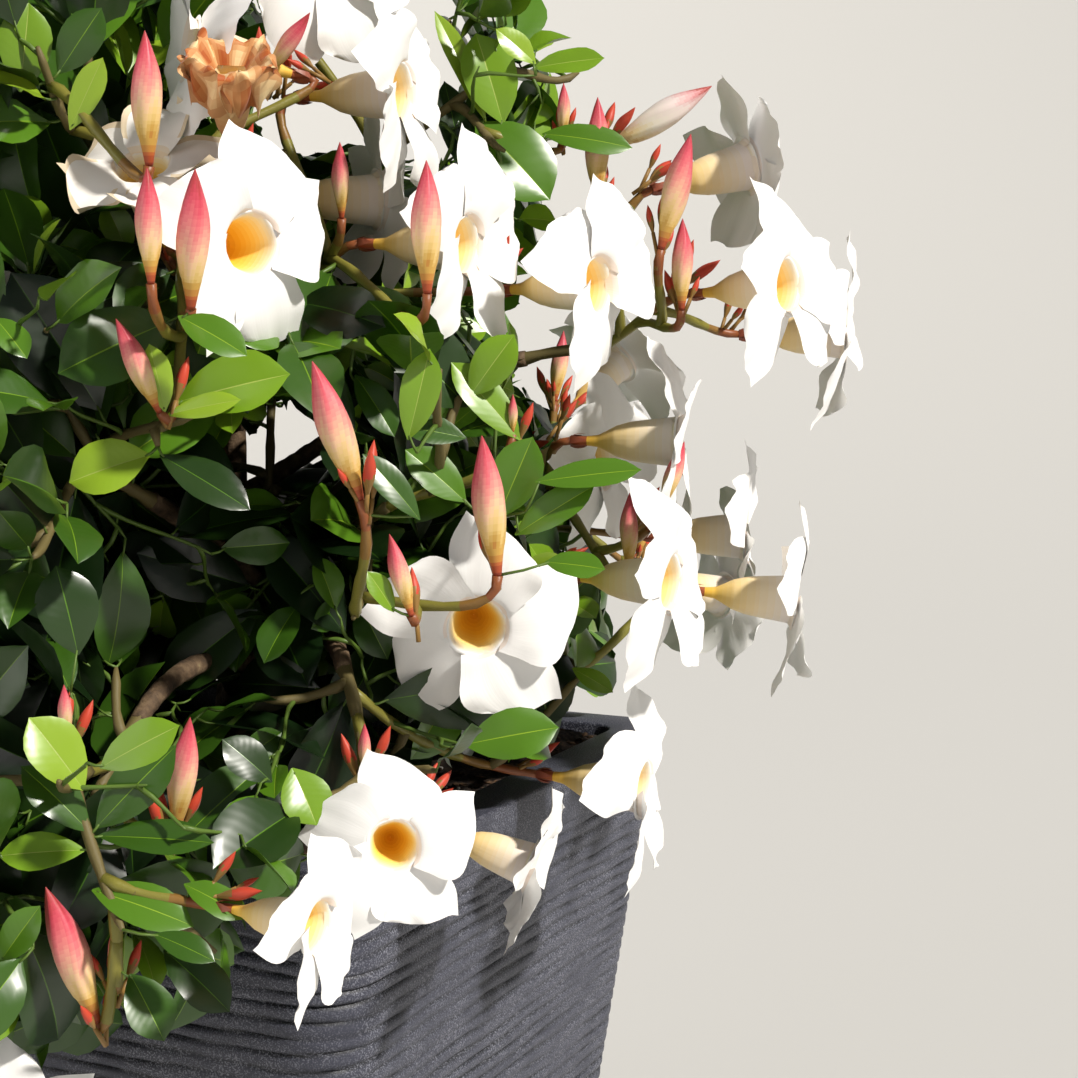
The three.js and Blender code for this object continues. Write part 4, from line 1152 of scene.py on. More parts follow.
groups = {
    "Front": ["front_mid", "front_low", "near_low", "front_left", "front_upper"],
    "Left": ["left_hanging", "left_mid", "left_low", "left_far", "left_up"],
    "Right": ["right_mid", "right_low", "right_far", "heart", "back_right"],
    "Back": ["back_mid", "back_low", "back_left", "back_up"],
    "Top": ["crown_top", "top_left", "top_right"],
}
nodesOf = {group: [f"foliage_{name}" for name in names] for group, names in groups.items()}
groupOf = {name: group for group, names in groups.items() for name in names}

# leaves: crossed pairs along every shoot, on short stalks, turned toward the sky
leafLook = {
    "length": 62, "width": 37, "sizes": (0.82, 0.34), "breadths": (0.9, 0.2), "shrink": 0.22, "stalk": 7,
    "stalkAlong": 0.5, "stalks": (0.6, 0.4), "spacing": 26, "spacings": (0.8, 0.4), "first": (10, 4),
    "apart": 16, "aparts": (0.55, 0.45), "edgeSlack": 8, "fromPlanter": 1.5, "fromLimb": 1,
    "bare": {"bloom": 30, "bud": 26, "stem": 0, "leafy": 5, "fine": 5},
    "opening": 52, "openingSwing": 22, "turnSwing": 0.3, "crossSwing": 0.25,
    "lift": 0.18, "outward": 0.12, "skyPull": 0.95, "skyUp": 0.8, "skyOut": 0.5, "skySun": 0.55,
    "arch": (0.1, 0.22), "fold": (0.12, 0.3), "wave": (0.04, 0.1), "waveBeat": 9, "swell": 0.05,
    "rows": [0, 0.05, 0.13, 0.24, 0.38, 0.52, 0.65, 0.77, 0.87, 0.935, 0.975, 1],
    "halves": [0.04, 0.18, 0.42, 0.68, 0.89, 0.99, 1, 0.88, 0.62, 0.33, 0.11, 0.01],
    "columns": [-1, -0.52, -0.02, 0.02, 0.52, 1],
    # opening, size and how much paler, of the two pairs at a shoot's tip
    "tipPairs": [(38, 0.72, 1), (24, 0.46, 2)], "tipSizes": (0.85, 0.3),
    "tipOpening": 8,
}
# six greens from palest to darkest: young leaves are really paler, and the scale also carries painted light
# on sunny leaves and painted shade on leaves deep in the crown
shades = [("youngBlade", "#88a72a"), ("sunnyBlade", "#6f941e"), ("freshBlade", "#4e7718"),
          ("midBlade", "#335513"), ("deepBlade", "#20390f"), ("innerBlade", "#0f2209")]
blades = [makeBlade(*shade) for shade in shades]
leafRib = makeSkin("leafRib", "#9db052", 0.4)
ribOf = [6, 6, 0, 1, 2, 3]      # a leaf's rib is a lighter green than its blade
sunward = unit(np.array([0.72, -0.12, 0.66]))

leafCells = {}
leafSamples = [(0, 0)] + [(f, c) for f in (0.2, 0.4, 0.6, 0.8) for c in (-0.85, 0, 0.85)] + [(1, 0)]
leafMiddle = leafSamples.index((0.6, 0))


def crowded(centre, apart):
    cell = tuple(np.floor(centre / leafLook["apart"]).astype(int))
    for dx in (-1, 0, 1):
        for dy in (-1, 0, 1):
            for dz in (-1, 0, 1):
                for other in leafCells.get((cell[0] + dx, cell[1] + dy, cell[2] + dz), []):
                    if math.dist(other, centre) < apart:
                        return True
    leafCells.setdefault(cell, []).append(centre)
    return False


leaves = {group: [] for group in groups}
stalks = {group: [] for group in groups}

# leaves that stand out in the photograph: foot, tip and width in its pixels, then shade, which paints in how
# lit or shaded each leaf is as well as its own green;
# each hangs on the twig that passes nearest to its foot
shownLeaves = [
    [(150, 455), (68, 478), 58, 0], [(165, 412), (152, 345), 30, 0], [(167, 415), (238, 397), 26, 0],
    [(178, 402), (286, 370), 66, 1], [(160, 455), (250, 505), 45, 4], [(408, 440), (430, 350), 40, 1],
    [(355, 375), (396, 432), 36, 3], [(520, 440), (455, 360), 42, 1], [(470, 396), (512, 335), 42, 1],
    [(420, 520), (368, 452), 32, 3], [(498, 518), (532, 438), 50, 2], [(535, 482), (640, 466), 32, 2],
    [(515, 535), (592, 484), 36, 2], [(545, 562), (604, 566), 30, 2], [(466, 438), (403, 424), 32, 3],
    [(466, 502), (408, 448), 44, 2], [(78, 655), (60, 568), 62, 4], [(258, 610), (160, 684), 60, 4],
    [(-5, 318), (27, 354), 32, 2], [(178, 316), (246, 350), 40, 2], [(572, 668), (613, 690), 22, 1],
    [(394, 612), (371, 572), 24, 1], [(84, 790), (32, 717), 58, 0], [(100, 768), (173, 724), 46, 1],
    [(90, 832), (26, 764), 46, 3], [(96, 828), (168, 748), 52, 3], [(98, 836), (211, 838), 38, 3],
    [(86, 850), (-2, 852), 40, 1], [(92, 890), (191, 918), 48, 2], [(184, 884), (246, 913), 34, 2],
    [(154, 934), (213, 956), 30, 3], [(130, 974), (166, 1038), 50, 3], [(164, 950), (231, 1006), 50, 4],
    [(292, 768), (318, 822), 52, 1], [(0, 962), (37, 908), 36, 2], [(272, 782), (227, 738), 42, 4],
    [(486, 122), (440, 6), 24, 0], [(503, 124), (478, 32), 58, 1], [(533, 68), (603, 55), 28, 1],
    [(536, 64), (499, 27), 28, 0], [(476, 122), (552, 193), 76, 2], [(542, 134), (631, 140), 32, 2],
    [(463, 170), (447, 80), 34, 4], [(20, 92), (30, 3), 52, 1], [(58, 74), (100, 8), 42, 3],
    [(70, 130), (102, 58), 30, 0],
]
shownRule = {"nearer": 0.2, "tilt": 8, "skyward": 0.35, "arch": (0.08, 0.1), "fold": (0.1, 0.2),
             "wave": (0.04, 0.08)}


def fromPhoto(x, y, depth):
    across, below = (x - photoSize / 2) / photoReach, (y - photoSize / 2) / photoReach
    return viewPlace + depth * (viewAhead + viewRight * across - viewUp * below)


def addShownLeaves():
    rand = seeded(90217)
    shoots = [(plant, shoot) for plant in plants for shoot in plant["shoots"]]
    spots = np.concatenate([shoot["curve"] for plant, shoot in shoots])
    owners = [(k, i) for k, (plant, shoot) in enumerate(shoots) for i in range(len(shoot["curve"]))]
    depths = (spots - viewPlace) @ viewAhead
    seen = inPhoto(spots)
    for (x, y), (tipX, tipY), broad, shade in shownLeaves:
        away = np.linalg.norm(seen - (x, y), axis=1) * depths / photoReach
        chosen = int(np.argmin(away + shownRule["nearer"] * depths))
        k, i = owners[chosen]
        plant, shoot = shoots[k]
        depth = depths[chosen]
        foot = fromPhoto(x, y, depth)
        blade = fromPhoto(tipX, tipY, depth - shownRule["tilt"]) - foot
        length = math.sqrt(blade @ blade)
        direction = blade / length
        normal = toViewer(foot) + up * shownRule["skyward"] + sunward * shownRule["skyward"]
        normal = unit(normal - direction * (normal @ direction))
        across = np.cross(normal, direction)
        group = groupOf[plant["mass"]["name"]]
        bends = [within(rand, shownRule[kind]) for kind in ("arch", "fold", "wave")]
        leaves[group].append((foot, direction, across, normal, length, broad * depth / photoReach, *bends,
                              rand() * fullTurn, shade))
        stalks[group].append((spots[chosen], foot + direction * 2))
        along = lengthOf(shoot["curve"]) * i / (len(shoot["curve"]) - 1)
        shoot["leafy"] = max(shoot.get("leafy", 0), along)
        openWays.append((foot + blade / 2, toViewer(foot), *wayLook["leafToViewer"]))
        crowded(foot + blade / 2, 0)
    print("leaves placed as in the photograph:", len(shownLeaves))


addShownLeaves()
openParts = [np.array(part) for part in zip(*openWays)]
leafLow = np.array(cadLow) / mm - leafLook["edgeSlack"]
leafHigh = np.array(cadHigh) / mm + leafLook["edgeSlack"]


def tryLeaf(group, p, along, turn, opening, size, shade, rand):
    look = leafLook
    side = sideOf(along)
    other = np.cross(along, side)
    out = side * math.cos(turn) + other * math.sin(turn)
    outward = unit(p - core)
    opened = math.radians(opening)
    direction = unit(along * math.cos(opened) + out * math.sin(opened) + up * look["lift"]
                     + outward * look["outward"])
    length, width = look["length"] * size, look["width"] * size * within(rand, look["breadths"])
    stalk = look["stalk"] * (look["stalks"][0] + look["stalks"][1] * size)
    apart = look["apart"] * (look["aparts"][0] + look["aparts"][1] * size)
    foot = p + unit(along * look["stalkAlong"] + out) * stalk
    natural = unit(along - direction * (along @ direction))
    sky = up * look["skyUp"] + outward * look["skyOut"] + sunward * look["skySun"]
    sky = sky - direction * (sky @ direction)
    normal = unit(natural + sky * look["skyPull"])
    normal = unit(normal - direction * (normal @ direction))
    across = np.cross(normal, direction)
    arch = within(rand, look["arch"])
    tests = np.array([foot + direction * (length * f) + across * (c * width / 2)
                      - normal * (arch * length * f * f) for f, c in leafSamples])
    if (inPlanter(tests, look["fromPlanter"]).any() or nearLimb(tests[1:], look["fromLimb"]).any()
            or (tests < leafLow).any() or (tests > leafHigh).any() or inOpenWay(tests)
            or againstSky(tests) or inHollow(tests) or inBloom(tests) or nearBud(tests)
            or crowded(tests[leafMiddle], apart)):
        return False
    leaves[group].append((foot, direction, across, normal, length, width, arch,
                          within(rand, look["fold"]), within(rand, look["wave"]), rand() * fullTurn, shade))
    stalks[group].append((p, foot + direction * 2))
    return True


# a spray's green, darker with the number: painted light makes it paler on the sunny side, outside and high
# up, painted shade makes it darker near the hollows, and it also varies by chance
shadeRule = {"middle": 3.8, "sunny": 1.5, "outside": 1.5, "high": 0.7, "chance": 2, "hollow": 1.4,
             "skin": 0.6, "crownHeight": 524, "hollowEdge": 42, "palest": 1, "darkest": 5,
             "innerShare": 0.4}


def shadeOf(p, rand):
    look = shadeRule
    outer = outwardness(p)
    height = (p[2] - planterSize["height"]) / look["crownHeight"]
    lit = min(outer, 1) * (unit(p - crownMiddle) @ sunward)
    # painted light: paler toward the sun, at the crown's skin and high up
    level = look["middle"] - look["sunny"] * lit - look["outside"] * max(outer - look["skin"], 0)
    level = level - look["high"] * height + swing(rand, look["chance"])
    # painted shade: leaves near a hollow are darker
    nearHollow = any(math.dist(p, centre) < radius + look["hollowEdge"] for centre, radius in hollows)
    return int(np.clip(round(level + look["hollow"] * nearHollow), look["palest"], look["darkest"]))


def addLeaves(plant):
    look = leafLook
    group = groupOf[plant["mass"]["name"]]
    rand = seeded(plant["index"] * 2237 + 31)
    inner = shadeRule["innerShare"]
    for shoot in plant["shoots"]:
        curve = shoot["curve"]
        total = lengthOf(curve)
        shoot.setdefault("leafy", 0)      # how far along its last leaf stands
        shade = shadeOf(curve[-1], rand)
        turn = rand() * math.pi
        s = within(rand, look["first"])
        while s < total - look["bare"][shoot["kind"]]:
            p, along = stationAt(curve, s)
            size = within(rand, look["sizes"]) * (1 - look["shrink"] * s / total)
            # painted shade: leaves on the inner share of a shoot, deeper in the crown, are one step darker
            tone = min(shadeRule["darkest"], shade + 1) if s < total * inner else shade
            for flip in (0, math.pi):
                opening = look["opening"] + swing(rand, look["openingSwing"])
                turned = turn + flip + swing(rand, look["turnSwing"])
                if tryLeaf(group, p, along, turned, opening, size, tone, rand):
                    shoot["leafy"] = max(shoot["leafy"], s)
            turn += math.pi / 2 + swing(rand, look["crossSwing"])
            s += look["spacing"] * within(rand, look["spacings"])
        if shoot["kind"] in ("leafy", "fine"):
            p, along = curve[-1], unit(curve[-1] - curve[-2])
            for opening, share, paler in look["tipPairs"]:
                for flip in (0, math.pi):
                    opened = opening + look["tipOpening"] * rand()
                    size = share * within(rand, look["tipSizes"])
                    if tryLeaf(group, p, along, turn + flip, opened, size, max(shade - paler, 0), rand):
                        shoot["leafy"] = total
                turn += math.pi / 2


# a leafy twig ends at its last leaf or branch, and a bare one isn't made
def trimTwigs(plant):
    for shoot in reversed(plant["shoots"]):
        total = lengthOf(shoot["curve"])
        carried = [node["share"] * total for node in shoot["nodes"] if node.get("kept")]
        shoot["shown"] = max(carried + [shoot["leafy"]]) if shoot["kind"] in ("fine", "leafy") else total
        if shoot["shown"] > 0:
            shoot["from"]["kept"] = True


for plant in plants:
    addLeaves(plant)
    trimTwigs(plant)
print("leaves:", {group: len(found) for group, found in leaves.items()})


def makeLeaves(group):
    look = leafLook
    rows, halves = np.array(look["rows"]), np.array(look["halves"])
    columns = np.array(look["columns"])
    f, c = np.meshgrid(rows, columns, indexing="ij")
    half = np.meshgrid(halves, columns, indexing="ij")[0]
    uv = np.stack([f, c / 2 + 0.5], axis=-1)
    store = newStore()
    for foot, direction, across, normal, length, width, arch, fold, wave, phase, shade in leaves[group]:
        x = f * length
        y = c * half * width / 2
        swell = look["swell"] * width * np.maximum(1 - (np.abs(c) / columns[-2] - 1) ** 2, 0) * half
        z = fold * np.abs(y) - arch * length * f * f + swell
        z = z + wave * width / 2 * np.sin(f * look["waveBeat"] + phase + c) * c * c * half
        points = (foot + x[..., None] * direction + y[..., None] * across + z[..., None] * normal)
        marks = np.array([shade, shade, ribOf[shade], shade, shade])
        addGrid(store, points, marks, uv=uv)
    makeJoined(f"leaves{group}", store, blades + [leafRib], nodesOf[group])


for group in groups:
    makeLeaves(group)

# twigs and leaf stalks
twigBark = makeSkin("youngTwig", "#6a5f38", 0.6)
twigGreen = makeSkin("greenTwig", "#56702a", 0.45)
flowerStalk = makeSkin("flowerStalk", "#7f7a34", 0.42)
redStalk = makeSkin("redStalk", "#8a4f2c", 0.42)
paleStalk = makeSkin("paleStalk", "#866430", 0.42)
twigSkins = [twigBark, twigGreen, flowerStalk, redStalk, paleStalk]
twigLook = {
    "marks": {"stem": 0, "leafy": 0, "fine": 1, "bloom": 2, "bud": 2}, "paleFrom": 0.6, "redFrom": 0.76,
    "sides": {"stem": 6, "leafy": 6, "fine": 5, "bloom": 6, "bud": 6}, "shortest": 0.05, "inBough": 6,
    "tipShare": 0.5, "knots": 0.12, "knotBeat": 2.1, "stalkRadii": (0.7, 0.6, 0.5), "stalkSag": 0.6,
}


def makeTwigs(group):
    look = twigLook
    store = newStore()
    for plant in plants:
        if groupOf[plant["mass"]["name"]] != group:
            continue
        for shoot in plant["shoots"]:
            curve = shoot["curve"]
            shown = shoot["shown"] / lengthOf(curve)
            if shown < look["shortest"]:
                continue
            curve = curve[:max(2, math.ceil(shown * (len(curve) - 1)) + 1)]
            if shoot["kind"] == "stem":     # sits inside the bough's end
                curve = np.concatenate([[curve[0] - unit(curve[1] - curve[0]) * look["inBough"]], curve])
            t = np.linspace(0, 1, len(curve))
            radii = shoot["base"] + (shoot["tip"] - shoot["base"]) * t
            if shoot["kind"] in ("fine", "leafy"):
                radii[-1] *= look["tipShare"]
            knots = 1 + look["knots"] * np.sin(np.arange(len(curve)) * look["knotBeat"])
            mark = np.full((len(curve) - 1, 1), look["marks"][shoot["kind"]])
            if shoot["kind"] in ("bloom", "bud"):
                mark[round(len(mark) * look["paleFrom"]):] = twigSkins.index(paleStalk)
                mark[round(len(mark) * look["redFrom"]):] = twigSkins.index(redStalk)
            addTube(store, curve, radii * knots, look["sides"][shoot["kind"]], mark)
    for p, foot in stalks[group]:
        middle = (p + foot) / 2 - up * look["stalkSag"]
        addTube(store, np.array([p, middle, foot]), np.array(look["stalkRadii"]), 4, 1)
    makeJoined(f"twigs{group}", store, twigSkins, nodesOf[group])


for group in groups:
    makeTwigs(group)

# blooms: a narrow tube that opens to a bell, then five lobes that overlap like a
# pinwheel, each with a round shoulder on one side and its point on the other
bloomLook = {
    "profile": [(-54, 2.3), (-46, 2.4), (-41, 3), (-37, 5), (-32, 7.6), (-25, 9.6), (-16, 10.8),
                (-8, 11.6), (-3, 12.2)],
    "outsideRows": 34, "tubeShare": 0.12, "sides": 25, "tones": 16, "throatTones": 14,
    # the throat's own gold runs paler toward the lip, and the whole row is paled further: painted glow of
    # light through the thin petals
    "throat": [(0, "#f9f3e6"), (0.22, "#fbe9b8"), (0.45, "#fbd66c"), (0.7, "#f5bd36"), (1, "#da9214")],
    "cup": [(-1.5, 15.4), (-0.5, 13.9), (-1.2, 12.8), (-3, 11.9), (-6, 11.1), (-10, 10.2), (-14, 9.1),
            (-18, 7.7), (-22, 5.7), (-25, 3.2), (-27, 0.2)], "lip": 3,
    # a lobe's edge that runs to its point, and the edge that runs to its shoulder
    "pointEdge": [(-8, 9), (-12.4, 14.5), (-17.2, 21), (-21, 28.5), (-21.5, 36), (-17.5, 44)],
    "roundEdge": [(8, 9), (13.5, 13.5), (18.8, 19), (21.8, 25.5), (20.5, 32.5), (13, 38)],
    "mouth": 12, "beak": 5.4, "rows": 14, "columns": 14, "bulge": 5.2, "overlap": 3.6, "ruffle": 1.4,
    "lift": (-8, 21), "droop": (2, 7), "pleat": 0.35, "ribbed": 0.03, "reaches": (0.95, 0.1),
    "bellShare": 0.9, "roll": 0.4, "lobeRoll": 0.2,
}
# tube, then steps from the golden bell to its mouth, then the lobe and its margin; the bell's tones are
# lighter than its own gold, painted glow of light through its thin wall
petalStops = {
    "fresh": ("#a4552f", "#eebb3e", "#f6eae0", "#f9f8f6", "#f4f2f1"),
    "ageing": ("#a4552f", "#dca02e", "#f1e4d0", "#f6f2ec", "#e4d2b4"),
    "withered": ("#8f7a35", "#a9541c", "#f2d5a0", "#c06a2c", "#e6b070"),
}


def between(first, last, share):
    pairs = [(int(first[i:i + 2], 16), int(last[i:i + 2], 16)) for i in (1, 3, 5)]
    return "#" + "".join(f"{round(a + (b - a) * share):02x}" for a, b in pairs)


# a row of tones, even steps along stops of place and colour
def tonesAlong(stops, count):
    places, tones = zip(*stops)
    found = []
    for share in np.linspace(0, 1, count):
        k = min(int(np.searchsorted(places, share, "right")) - 1, len(places) - 2)
        found.append(between(tones[k], tones[k + 1], (share - places[k]) / (places[k + 1] - places[k])))
    return found


def makePetals(look):
    tube, bell, mouth, lobe, margin = petalStops[look]
    tones = [tube] + tonesAlong([(0, bell), (1, mouth)], bloomLook["tones"]) + [lobe, margin]
    return [makePetal(f"{look}Petal{k}", tone) for k, tone in enumerate(tones)]


petals = {look: makePetals(look) for look in petalStops}
throats = [makePetal(f"throat{k}", tone, 0.5, 0.05)
           for k, tone in enumerate(tonesAlong(bloomLook["throat"], bloomLook["throatTones"]))]
calyxSkin = makeSkin("flowerCalyx", "#8e4a34", 0.45)
bloomSkins = sum(petals.values(), []) + throats + [calyxSkin]


# a tube of one row for each mark, along a profile of places and radii, with five ribs
def addFunnel(store, place, profile, marks):
    sides = bloomLook["sides"]
    angles = np.arange(sides) * (2 * math.pi / sides)
    reach, radii = np.array(profile).T
    stations = np.linspace(0, 1, len(reach))
    rings = []
    for share in np.linspace(0, 1, len(marks) + 1):
        z, radius = np.interp(share, stations, reach), np.interp(share, stations, radii)
        ribbed = radius * (1 + bloomLook["ribbed"] * np.cos(angles * 5) * min(1, radius / 8))
        rings.append(np.stack([np.cos(angles) * ribbed, np.sin(angles) * ribbed, np.full(sides, z)], axis=-1))
    addGrid(store, place(np.array(rings)), np.array(marks)[:, None], closed=True)


# a smooth curve past the points of an edge
def edgeCurve(points, s):
    stations = np.linspace(0, 1, len(points))
    x, y = zip(*points)
    fit = np.polyfit(stations, np.array([x, y]).T, 4)
    return sum(fit[k] * s[:, None] ** (4 - k) for k in range(5))


# how a lobe rises, droops, laps over the next one and ruffles
lobeLook = {
    "footOut": 9, "footShare": 3, "beakLength": 0.09, "beakWidth": 0.26, "beakLean": 0.15, "hinge": 8.2,
    "foot": -3.4, "step": 3.8, "stepEnd": 6, "stepCurve": 0.7, "droopFrom": 0.4, "droopPull": 3,
    "lapEnd": 1.6, "leastRuffle": 0.6, "ruffleSlant": 1.5, "ruffleEnd": 2, "endWave": 0.8, "endFrom": 0.7,
    "endPull": 3, "endBeat": 4.4, "pleatBeat": 11,
}
ageingLook = {"curl": 9, "narrowing": 0.25, "marginFrom": 4}
witheredLook = {
    "narrowing": 0.3, "folds": (0.6, 0.6), "outFrom": 9, "out": 12, "outBeat": 2.5,
    "upFrom": -2, "up": 21, "upBeat": 2.3, "hang": 36,
    # crumples: size, beats along the lobe and across it, and how far the phase shifts them
    "aside": (2.4, 9, 5, 1), "outward": (3, 12, -6, 2), "upward": (3, 7, 8, 3),
    "patch": 0.45, "patchSwing": 0.5, "patchAlong": 9, "patchAcross": 4,
}


# a lobe laid flat: s runs from its foot to its end, t from the edge with the point to
# the other
def flatLobe(s, t):
    shape, look = bloomLook, lobeLook
    point, shoulder = edgeCurve(shape["pointEdge"], s), edgeCurve(shape["roundEdge"], s)
    share = (t + 1) / 2
    flat = point[:, None] * (1 - share)[None, :, None] + shoulder[:, None] * share[None, :, None]
    s, t = np.meshgrid(s, t, indexing="ij")
    x = flat[..., 0]
    y = flat[..., 1] + shape["bulge"] * (1 - t * t) * s**2
    roundMouth = np.sqrt(np.maximum(shape["mouth"]**2 - x * x, 0)) - look["footOut"]
    y = y + roundMouth * np.maximum(1 - look["footShare"] * s, 0)      # the foot follows the mouth
    beak = np.exp(-(1 - s) / look["beakLength"] - (t + 1) / look["beakWidth"]) * shape["beak"]
    return s, t, x - beak * look["beakLean"], y + beak


# how high a lobe lies, and the phase of its ruffles
def lobeHeight(s, t, rand):
    shape, look = bloomLook, lobeLook
    lift, back = within(rand, shape["lift"]), within(rand, shape["droop"])
    phase, beat = rand() * fullTurn, 1 + rand()
    z = (look["foot"] + look["step"] * np.minimum(s * look["stepEnd"], 1) ** look["stepCurve"] + lift * s
         - back * np.maximum(s - look["droopFrom"], 0) ** 2 * look["droopPull"])
    z = z + shape["overlap"] * t * np.minimum(s * look["lapEnd"], 1)
    ruffle = shape["ruffle"] * (look["leastRuffle"] + rand())
    z = (z + ruffle * np.abs(t) ** 3 * np.sin(s * fullTurn * beat + phase + t * look["ruffleSlant"])
         * np.minimum(s * look["ruffleEnd"], 1))
    z = (z + ruffle * look["endWave"] * np.maximum(s - look["endFrom"], 0) * look["endPull"]
         * np.sin(t * look["endBeat"] + phase * 2))
    return z + shape["pleat"] * np.sin(t * look["pleatBeat"] + phase) * s, phase


def crumple(kind, s, t, phase):
    size, along, across, shift = witheredLook[kind]
    return size * np.sin(s * along + t * across + phase * shift) * s


# a withered lobe hangs down over the bell, crumpled
def witheredLobe(x, s, t, phase, fold):
    look = witheredLook
    x = x * (1 - look["narrowing"] * s) + crumple("aside", s, t, phase)
    y = look["outFrom"] + look["out"] * np.sin(s * look["outBeat"]) + crumple("outward", s, t, phase)
    z = look["upFrom"] + look["up"] * np.sin(s * look["upBeat"]) - look["hang"] * fold * s**2
    return x, y, z + crumple("upward", s, t, phase)


def addLobe(store, place, turn, scale, reach, look, base, rand):
    shape, hinge = bloomLook, lobeLook["hinge"]
    s, t, x, y = flatLobe(np.linspace(0, 1, shape["rows"]), np.linspace(-1, 1, shape["columns"]))
    z, phase = lobeHeight(s, t, rand)
    if look == "ageing":      # its sides curl up
        z = z + ageingLook["curl"] * t * t * s * s
        x = x * (1 - ageingLook["narrowing"] * s * s)
    if look == "withered":
        x, y, z = witheredLobe(x, s, t, phase, within(rand, witheredLook["folds"]))
    y = hinge + (y - hinge) * (reach if look != "withered" else 1)
    c, d = math.cos(turn), math.sin(turn)
    points = np.stack([x * c - y * d, x * d + y * c, z], axis=-1) * scale
    steps = shape["tones"]
    marks = np.full((shape["rows"] - 1, shape["columns"] - 1), base + steps + 1)
    marks[0], marks[1] = base + steps - 1, base + steps
    if look == "withered":
        patches = steps * (witheredLook["patch"] + witheredLook["patchSwing"]
                           * np.sin(s * witheredLook["patchAlong"] + phase)
                           * np.cos(t * witheredLook["patchAcross"] + phase * 2))
        marks = base + 1 + np.clip(np.round(patches), 0, steps - 1).astype(int)[1:, 1:]
    elif look == "ageing":
        marks[ageingLook["marginFrom"]:, [0, -1]] = base + steps + 2
        marks[-1] = base + steps + 2
    uv = np.stack([s, (t + 1) / 2], axis=-1)
    addGrid(store, place(points), marks, uv=uv)


sepalLook = {"length": 8, "below": 1, "widths": [1.9, 1.8, 1.5, 0.9, 0.1], "out": [2.2, 3.1, 3.5, 3.6, 3.5]}


def addSepals(store, place, foot):
    width, out = np.array(sepalLook["widths"])[:, None], np.array(sepalLook["out"])[:, None]
    z = foot - sepalLook["below"] + np.linspace(0, 1, len(width)) * sepalLook["length"]
    c = np.linspace(-1, 1, 3)
    for k in range(5):
        angle = k * fifthTurn + 0.4
        x, y = math.cos(angle), math.sin(angle)
        points = np.zeros((len(width), 3, 3))
        points[..., 0] = x * out - y * c * width
        points[..., 1] = y * out + x * c * width
        points[..., 2] = z[:, None]
        addGrid(store, place(points), bloomSkins.index(calyxSkin))


def addBloomPiece(store, bloom, number):
    rand = seeded(number * 773 + 11)
    scale, reach = bloomLooks[bloom["look"]]
    axis, centre = bloom["axis"], bloom["centre"]
    side = sideOf(axis)
    other = np.cross(side, axis)
    other = -other if other[2] < 0 else other
    side = np.cross(other, axis)

    def place(points):
        return centre + points[..., :1] * side + points[..., 1:2] * other + points[..., 2:] * axis

    shape = bloomLook
    look = "fresh" if bloom["look"] == "small" else bloom["look"]
    base = bloomSkins.index(petals[look][0])
    outer = [(z * scale, r * scale) for z, r in shape["profile"]]
    inner = [(z * scale, r * scale) for z, r in shape["cup"]]
    share = (np.arange(shape["outsideRows"]) + 0.5) / shape["outsideRows"]
    level = (share - shape["tubeShare"]) / (shape["bellShare"] - shape["tubeShare"]) * (shape["tones"] - 1)
    outside = np.where(level < 0, 0, 1 + np.clip(np.round(level), 0, shape["tones"] - 1)).astype(int)
    addFunnel(store, place, outer, list(base + outside))
    lip = [base + shape["tones"] + 1] * shape["lip"]
    addFunnel(store, place, inner, lip + [bloomSkins.index(throat) for throat in throats])
    roll = swing(rand, shape["roll"])
    for k in range(5):
        turn = roll + k * fifthTurn + swing(rand, shape["lobeRoll"])
        addLobe(store, place, turn, scale, reach * within(rand, shape["reaches"]), look, base, rand)
    addSepals(store, place, shape["profile"][0][0] * scale)


def makeBlooms(group):
    store = newStore()
    number = 0
    for plant in plants:
        for bloom in plant["blooms"]:
            number += 1
            if groupOf[plant["mass"]["name"]] == group:
                addBloomPiece(store, bloom, number)
    makeJoined(f"blooms{group}", store, bloomSkins, nodesOf[group])


for group in groups:
    makeBlooms(group)

# buds: twisted spindles, green at the foot, cream along the side, coral at the tip
budLook = {
    "outline": [(0, 0.26), (0.05, 0.33), (0.1, 0.41), (0.15, 0.5), (0.2, 0.6), (0.27, 0.74), (0.35, 0.87),
                (0.43, 0.96), (0.52, 1), (0.6, 0.97), (0.68, 0.87), (0.75, 0.73), (0.81, 0.58), (0.87, 0.42),
                (0.92, 0.28), (0.96, 0.15), (1, 0.02)],
    "rows": 40, "sides": 20, "twist": 1.5, "slender": 0.116, "pinker": 0.06, "streak": 0.045,
    "tones": [(0, "#8f3a22"), (0.07, "#b8562e"), (0.15, "#c99a44"), (0.28, "#e3c27a"), (0.42, "#edc69c"),
              (0.54, "#e9a08e"), (0.7, "#dd6f74"), (0.85, "#cb485a"), (1, "#a83a3c")],
    "paleTones": [(0, "#8f3a22"), (0.08, "#c08a42"), (0.2, "#ecd8a0"), (0.4, "#f6eedd"), (0.7, "#f5e2dd"),
                  (0.9, "#e4a2a4"), (1, "#b4544e")],
    "steps": 24, "ridge": 0.07, "ridgeFrom": 0.22, "plainTo": 0.2,
}
# young buds in a ring under each bud and bloom
littleLook = {
    "fewest": 2, "more": 5, "length": 16, "lengths": (0.6, 0.9), "slender": 0.12, "rows": 13, "sides": 10,
    "below": (3, 9), "stalk": (7, 6), "stalkRadii": (1.1, 1.0), "redFrom": 0.45,
    "round": 2.4, "out": 0.6, "alongs": (0.3, 0.7), "upward": 0.8, "behindBloom": 3,
}
budSkins = [makePetal(f"budSkin{k}", tone, 0.42, 0.05)
            for k, tone in enumerate(tonesAlong(budLook["tones"], budLook["steps"]))]
littleRed, littleFoot = len(budSkins), len(budSkins) + 1
budSkins += [makePetal("budlet", "#c4452f", 0.45, 0.05), makePetal("budletFoot", "#8c6a34", 0.45, 0.05)]
firstPale = len(budSkins)
budSkins += [makePetal(f"paleBud{k}", tone, 0.45, 0.1)
             for k, tone in enumerate(tonesAlong(budLook["paleTones"], budLook["steps"]))]


